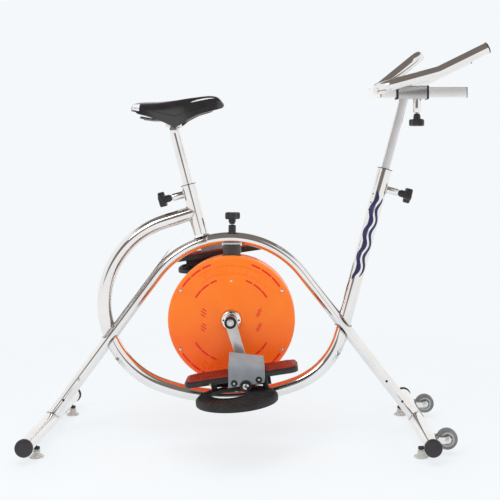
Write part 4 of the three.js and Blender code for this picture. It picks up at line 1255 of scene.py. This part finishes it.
# the shell under the padding
base_rows = []
for i in range(31):
    x = TAIL + 14 + (NOSE - TAIL - 26) * i / 30
    half = saddle_half(x) - 9
    z = through(SKIRT, x)
    rise = through(CROWN, x) - z - 26
    arc = [(half * math.sin(a), 8 + rise * math.cos(a) ** 0.8)
           for a in (math.radians(d) for d in range(-84, 85, 12))]
    base_rows.append([Vector((x, y, z + h)) for y, h in arc]
                     + [Vector((x, y * 0.97, z + h - 2.5)) for y, h in arc[::-1]])
piece("saddle_base", skin(base_rows), black_plastic, "saddle", ["saddle_shell"])

# ---------------------------------------------------------------- handlebar post, sleeve and slide
post_top = COLUMN_TOP + COLUMN_UP * BAR_POST_OUT


def square(side, corner):
    h = side / 2
    corners = [(-h, -h), (h, -h), (h, h), (-h, h)]
    return [tuple(p) for p in eased(corners, corner, closed=True)]


def square_pipe(a, b, side, corner, hole=0.0):
    """A square bar from a to b, hollow if it has a hole."""
    def walls(section):
        return [[p + s * u + r * v for u, v in section] for p, s, r in frames([a, b], Y)]

    rows = walls(square(side, corner))
    if not hole:
        return skin(rows)
    return skin(rows + walls(square(hole, corner * 0.6))[::-1], closed=True)


post = trimmed(square_pipe(COLUMN_TOP - COLUMN_UP * BAR_POST_IN, post_top, BAR_POST, 2.6, BAR_POST - 4),
               Vector((0, 0, SLEEVE_Z - SLEEVE_SIDE / 2)), Z)
piece("bar_post", post, post_steel, "bar_post", ["handlebar_post"])
piece("column_rim", mouth_rim(COLUMN_TOP, COLUMN_UP), black_plastic, "frame")
add_knob("column_knob", COLUMN_LOCK + COLUMN_FRONT * (BOSS_OUT + 3), COLUMN_FRONT,
         BOSS_OUT + 3 - BAR_POST / 2 - 0.6, 18, "column_knob")


def on_slide(x):
    return Vector((x, 0, SLEEVE_Z))


bore = SLIDE_SIDE + 0.8
sleeve_bottom = SLEEVE_Z - SLEEVE_SIDE / 2
piece("sleeve", square_pipe(on_slide(SLEEVE_BACK), on_slide(SLEEVE_FRONT), SLEEVE_SIDE, 3, bore),
      sleeve_steel, "bar_post", ["bar_sleeve"])
lock_at = Vector((LOCK_X, 0, sleeve_bottom))
piece("sleeve_boss", ring(STUD_HOLE, 12.5, -40, 0.5, lock_at, Z, sides=56, soft=1.2), chrome, "bar_post")
for name, a, b in (("rear", SLEEVE_BACK - 6, SLEEVE_BACK - 0.2),
                   ("front", SLEEVE_FRONT + 0.2, SLEEVE_FRONT + 6)):
    piece(f"collar_{name}", bevelled(square_pipe(on_slide(a), on_slide(b), SLEEVE_SIDE + 2, 3, bore), 0.8),
          dull_black, "bar_post", [f"sleeve_collar_{name}"])
foot = sleeve_bottom - 43
add_knob("slide_knob", Vector((LOCK_X, 0, foot)), -Z, SLEEVE_Z - SLIDE_SIDE / 2 - foot - 0.6, 16,
         "slide_knob")
piece("slide", square_pipe(on_slide(SLIDE_BACK), on_slide(SLIDE_FRONT), SLIDE_SIDE, 2.6, SLIDE_SIDE - 4),
      slide_steel, "bar", ["slide_tube"])
slide_end = on_slide(SLIDE_FRONT - 0.2)
piece("slide_cap", bevelled(merge(
    square_pipe(on_slide(SLIDE_FRONT - 10), slide_end, SLIDE_SIDE - 4.4, 1.6),
    square_pipe(slide_end, on_slide(SLIDE_FRONT + 2.2), SLIDE_SIDE, 2.6)), 0.6), dull_black, "bar")


def horn_side(side):
    back_x, back_z = HORN_BACK
    return [Vector((714, side * 114, 1107)), Vector((582, side * 108, 1042)),
            Vector((back_x, side * 101, back_z))]


def hoop_side(side):
    return [Vector((419, side * HOOP_Y, 999)), Vector((536, side * HOOP_Y, 1094))]


horns = rounded(horn_side(-1) + horn_side(1)[::-1], BAR_BEND, step=4)
hoop = rounded(hoop_side(-1) + hoop_side(1)[::-1], HOOP_BEND, step=5)
piece("bar_horns", pipe(horns, BAR, WALL, up=Y, sides=48), chrome, "bar", ["handlebar"])
piece("bar_hoop", pipe(hoop, BAR, up=Y, sides=48), chrome, "bar")
for side_name, side in SIDES:
    tip, before = horn_side(side)[:2]
    out = (tip - before).normalized()
    piece(f"horn_cap_{side_name}", turned_soft(
        [(0, -9), (13.4, -9), (13.4, -0.2), (16.4, -0.2), (16.4, 2.4), (13, 4.4), (0, 5.2)], 0.9,
        tip, out, sides=56), dull_black, "bar")
    foot, rise = hoop_side(side)
    up = (rise - foot).normalized()
    weld(f"hoop_weld_{side_name}", foot + up * 60, -up, BAR - 0.2,
         Vector((HORN_BACK[0], 0, HORN_BACK[1])), Y, BAR, size=1.5, body="bar")

for name, bm, body in WELDS:
    piece(name, bm, weld_metal, body)


# ---------------------------------------------------------------- printed marks on the column
def on_column(s, angle, lift=0.12):
    """Point of the column's wall s below its top; angle 0 faces right, 90 forwards."""
    a = math.radians(angle)
    return COLUMN_TOP - COLUMN_UP * s + (-Y * math.cos(a) + COLUMN_FRONT * math.sin(a)) * (TUBE + lift)


def wave(start, end, offset, reach, width, length, faces):
    """A ribbon that snakes along the column, on the right or the left of it."""
    rows = []
    count = int((end - start) / 2)
    for k in range(count + 1):
        s = start + (end - start) * k / count
        fade = min(1.0, (s - start) / 24, (end - s) / 24) ** 0.5 if 0 < k < count else 0.1
        middle = offset + reach * math.sin(2 * math.pi * s / length)
        angles = [middle - width * fade / 2 + width * fade * j / 6 for j in range(7)]
        if faces > 0:
            angles = [180 - a for a in angles]
        rows.append([on_column(s, a) for a in angles] + [on_column(s, a, -0.3) for a in angles[::-1]])
    return skin(rows)


for side_name, side in SIDES:
    ribbons = [wave(66, 334, -20, 14, 34, 70, side), wave(84, 322, 26, 14, 24, 70, side)]
    piece(f"wave_print_{side_name}", merge(*ribbons), blue_print, "frame")
mark_turn = math.radians(50)
mark_out = -Y * math.cos(mark_turn) - COLUMN_FRONT * math.sin(mark_turn)
dots = [rod(2.3, -1, 0.35, on_column(s, -50, 0), mark_out, sides=24, soft=0.2) for s in (79, 104, 126)]
piece("height_marks", merge(*dots), dull_black, "frame")

# ---------------------------------------------------------------- floor, light and camera
PALE = (0.905, 0.939, 0.965)
LENS_DISTANCE = 2.475  # camera to the centre plane, metres
CAMERA_HEIGHT = 0.757
CAMERA_X = 0.0506
FOCAL_SHARE = 1.7  # focal length as a share of the frame's width
LENS_SHIFT = (-0.058, -0.152)
FLOOR_GLOW = 0.72
FLOOR_FADE = (0.8, 1.9)  # the painted floor thins out between these distances, metres
ROOM_WHITE, ROOM_DARK = (1.0, 0.995, 0.99, 1), (0.20, 0.175, 0.16, 1)

floor_mesh = bpy.data.meshes.new("floor")
bm = skin([[ORIGIN]] + [circle(r, 96, ORIGIN, X, Y) for r in (1.0, 2.0, 4.0, 9.0)], capped=False)
bm.to_mesh(floor_mesh)
bm.free()
floor = bpy.data.objects.new("floor", floor_mesh)
floor.location = (0, 0, -0.0008)
bpy.context.scene.collection.objects.link(floor)
floor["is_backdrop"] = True
ground = Surface("floor_paint", Roughness=0.75)
ground.colour(ground.tint(ground.noise(6, 3), (0.26, 0.27, 0.275), (0.28, 0.29, 0.295)))
ground.shader.inputs["Specular IOR Level"].default_value = 0.1
ground.shader.inputs["Emission Color"].default_value = (*PALE, 1)
ground.shader.inputs["Emission Strength"].default_value = FLOOR_GLOW
tree = ground.tree
split = tree.nodes.new("ShaderNodeVectorMath")
split.operation = "LENGTH"
tree.links.new(ground.place, split.inputs[0])
fade = ground.remap(split.outputs["Value"], 0, 1, *FLOOR_FADE)
clear = tree.nodes.new("ShaderNodeBsdfTransparent")
mixed = tree.nodes.new("ShaderNodeMixShader")
tree.links.new(fade, mixed.inputs[0])
tree.links.new(ground.shader.outputs[0], mixed.inputs[1])
tree.links.new(clear.outputs[0], mixed.inputs[2])
tree.links.new(mixed.outputs[0], tree.nodes["Material Output"].inputs["Surface"])
floor.data.materials.append(ground.material)

world = bpy.data.worlds.new("studio")
bpy.context.scene.world = world
world.use_nodes = True
tree = world.node_tree
back = tree.nodes["Background"]


def math_node(kind, *values):
    node = tree.nodes.new("ShaderNodeMath")
    node.operation = kind
    for i, value in enumerate(values):
        if isinstance(value, bpy.types.NodeSocket):
            tree.links.new(value, node.inputs[i])
        else:
            node.inputs[i].default_value = value
    return node.outputs[0]


def ramp(value, start, end, low=0.0, high=1.0):
    node = tree.nodes.new("ShaderNodeMapRange")
    node.interpolation_type = "SMOOTHSTEP"
    set_range(node, start, end, low, high)
    tree.links.new(value, node.inputs["Value"])
    return node.outputs["Result"]


# a dark room behind the camera and overhead, pale walls at the sides and behind, pale floor
direction = tree.nodes.new("ShaderNodeTexCoord").outputs["Generated"]
parts = tree.nodes.new("ShaderNodeSeparateXYZ")
tree.links.new(direction, parts.inputs[0])
dx, dy, dz = parts.outputs
flat = math_node("SQRT", math_node("ADD", math_node("MULTIPLY", dx, dx),
                                   math_node("MULTIPLY", dy, dy)))
turn = math_node("DIVIDE", dx, math_node("MAXIMUM", flat, 0.001))
aside = math_node("ABSOLUTE", math_node("ADD", turn, 0.22))
toward = ramp(math_node("DIVIDE", dy, math_node("MAXIMUM", flat, 0.001)), -0.2, 0.25, 1.0, 0.0)
room = math_node("MULTIPLY", toward, ramp(aside, 0.46, 0.62, 1.0, 0.0))
ceiling = ramp(dz, 0.62, 0.74)
above = ramp(dz, -0.03, 0.02)
dark = math_node("MULTIPLY", math_node("MAXIMUM", room, ceiling), above)
seen = tree.nodes.new("ShaderNodeMix")
seen.data_type = "RGBA"
tree.links.new(dark, seen.inputs[0])
seen.inputs[MIX_A].default_value = ROOM_WHITE
seen.inputs[MIX_B].default_value = ROOM_DARK
path = tree.nodes.new("ShaderNodeLightPath")
direct = tree.nodes.new("ShaderNodeMix")
direct.data_type = "RGBA"
tree.links.new(path.outputs["Is Camera Ray"], direct.inputs[0])
tree.links.new(seen.outputs[MIX_OUT], direct.inputs[MIX_A])
direct.inputs[MIX_B].default_value = (*PALE, 1)
tree.links.new(direct.outputs[MIX_OUT], back.inputs["Color"])
back.inputs["Strength"].default_value = 1.0


def area_light(name, place, target, size, power, mirrored=True):
    data = bpy.data.lights.new(name, "AREA")
    data.shape = "RECTANGLE"
    data.size, data.size_y, data.energy = *size, power
    lamp = bpy.data.objects.new(name, data)
    lamp.location = place
    lamp.rotation_euler = (Vector(target) - Vector(place)).to_track_quat("-Z", "Y").to_euler()
    lamp.visible_glossy = mirrored
    bpy.context.scene.collection.objects.link(lamp)


area_light("overhead", (0.0, -0.6, 3.2), (0, 0, 0.4), (3.2, 3.2), 62, mirrored=False)
area_light("key", (-1.7, -2.2, 2.2), (0, 0, 0.5), (0.9, 1.3), 16)

camera_data = bpy.data.cameras.new("camera")
camera = bpy.data.objects.new("camera", camera_data)
bpy.context.scene.collection.objects.link(camera)
bpy.context.scene.camera = camera
camera.location = (CAMERA_X, -LENS_DISTANCE, CAMERA_HEIGHT)
camera.rotation_euler = (math.pi / 2, 0, 0)
camera_data.sensor_width = 36
camera_data.lens = FOCAL_SHARE * camera_data.sensor_width
camera_data.shift_x, camera_data.shift_y = LENS_SHIFT
bpy.context.scene.view_settings.view_transform = "Standard"

low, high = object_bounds()
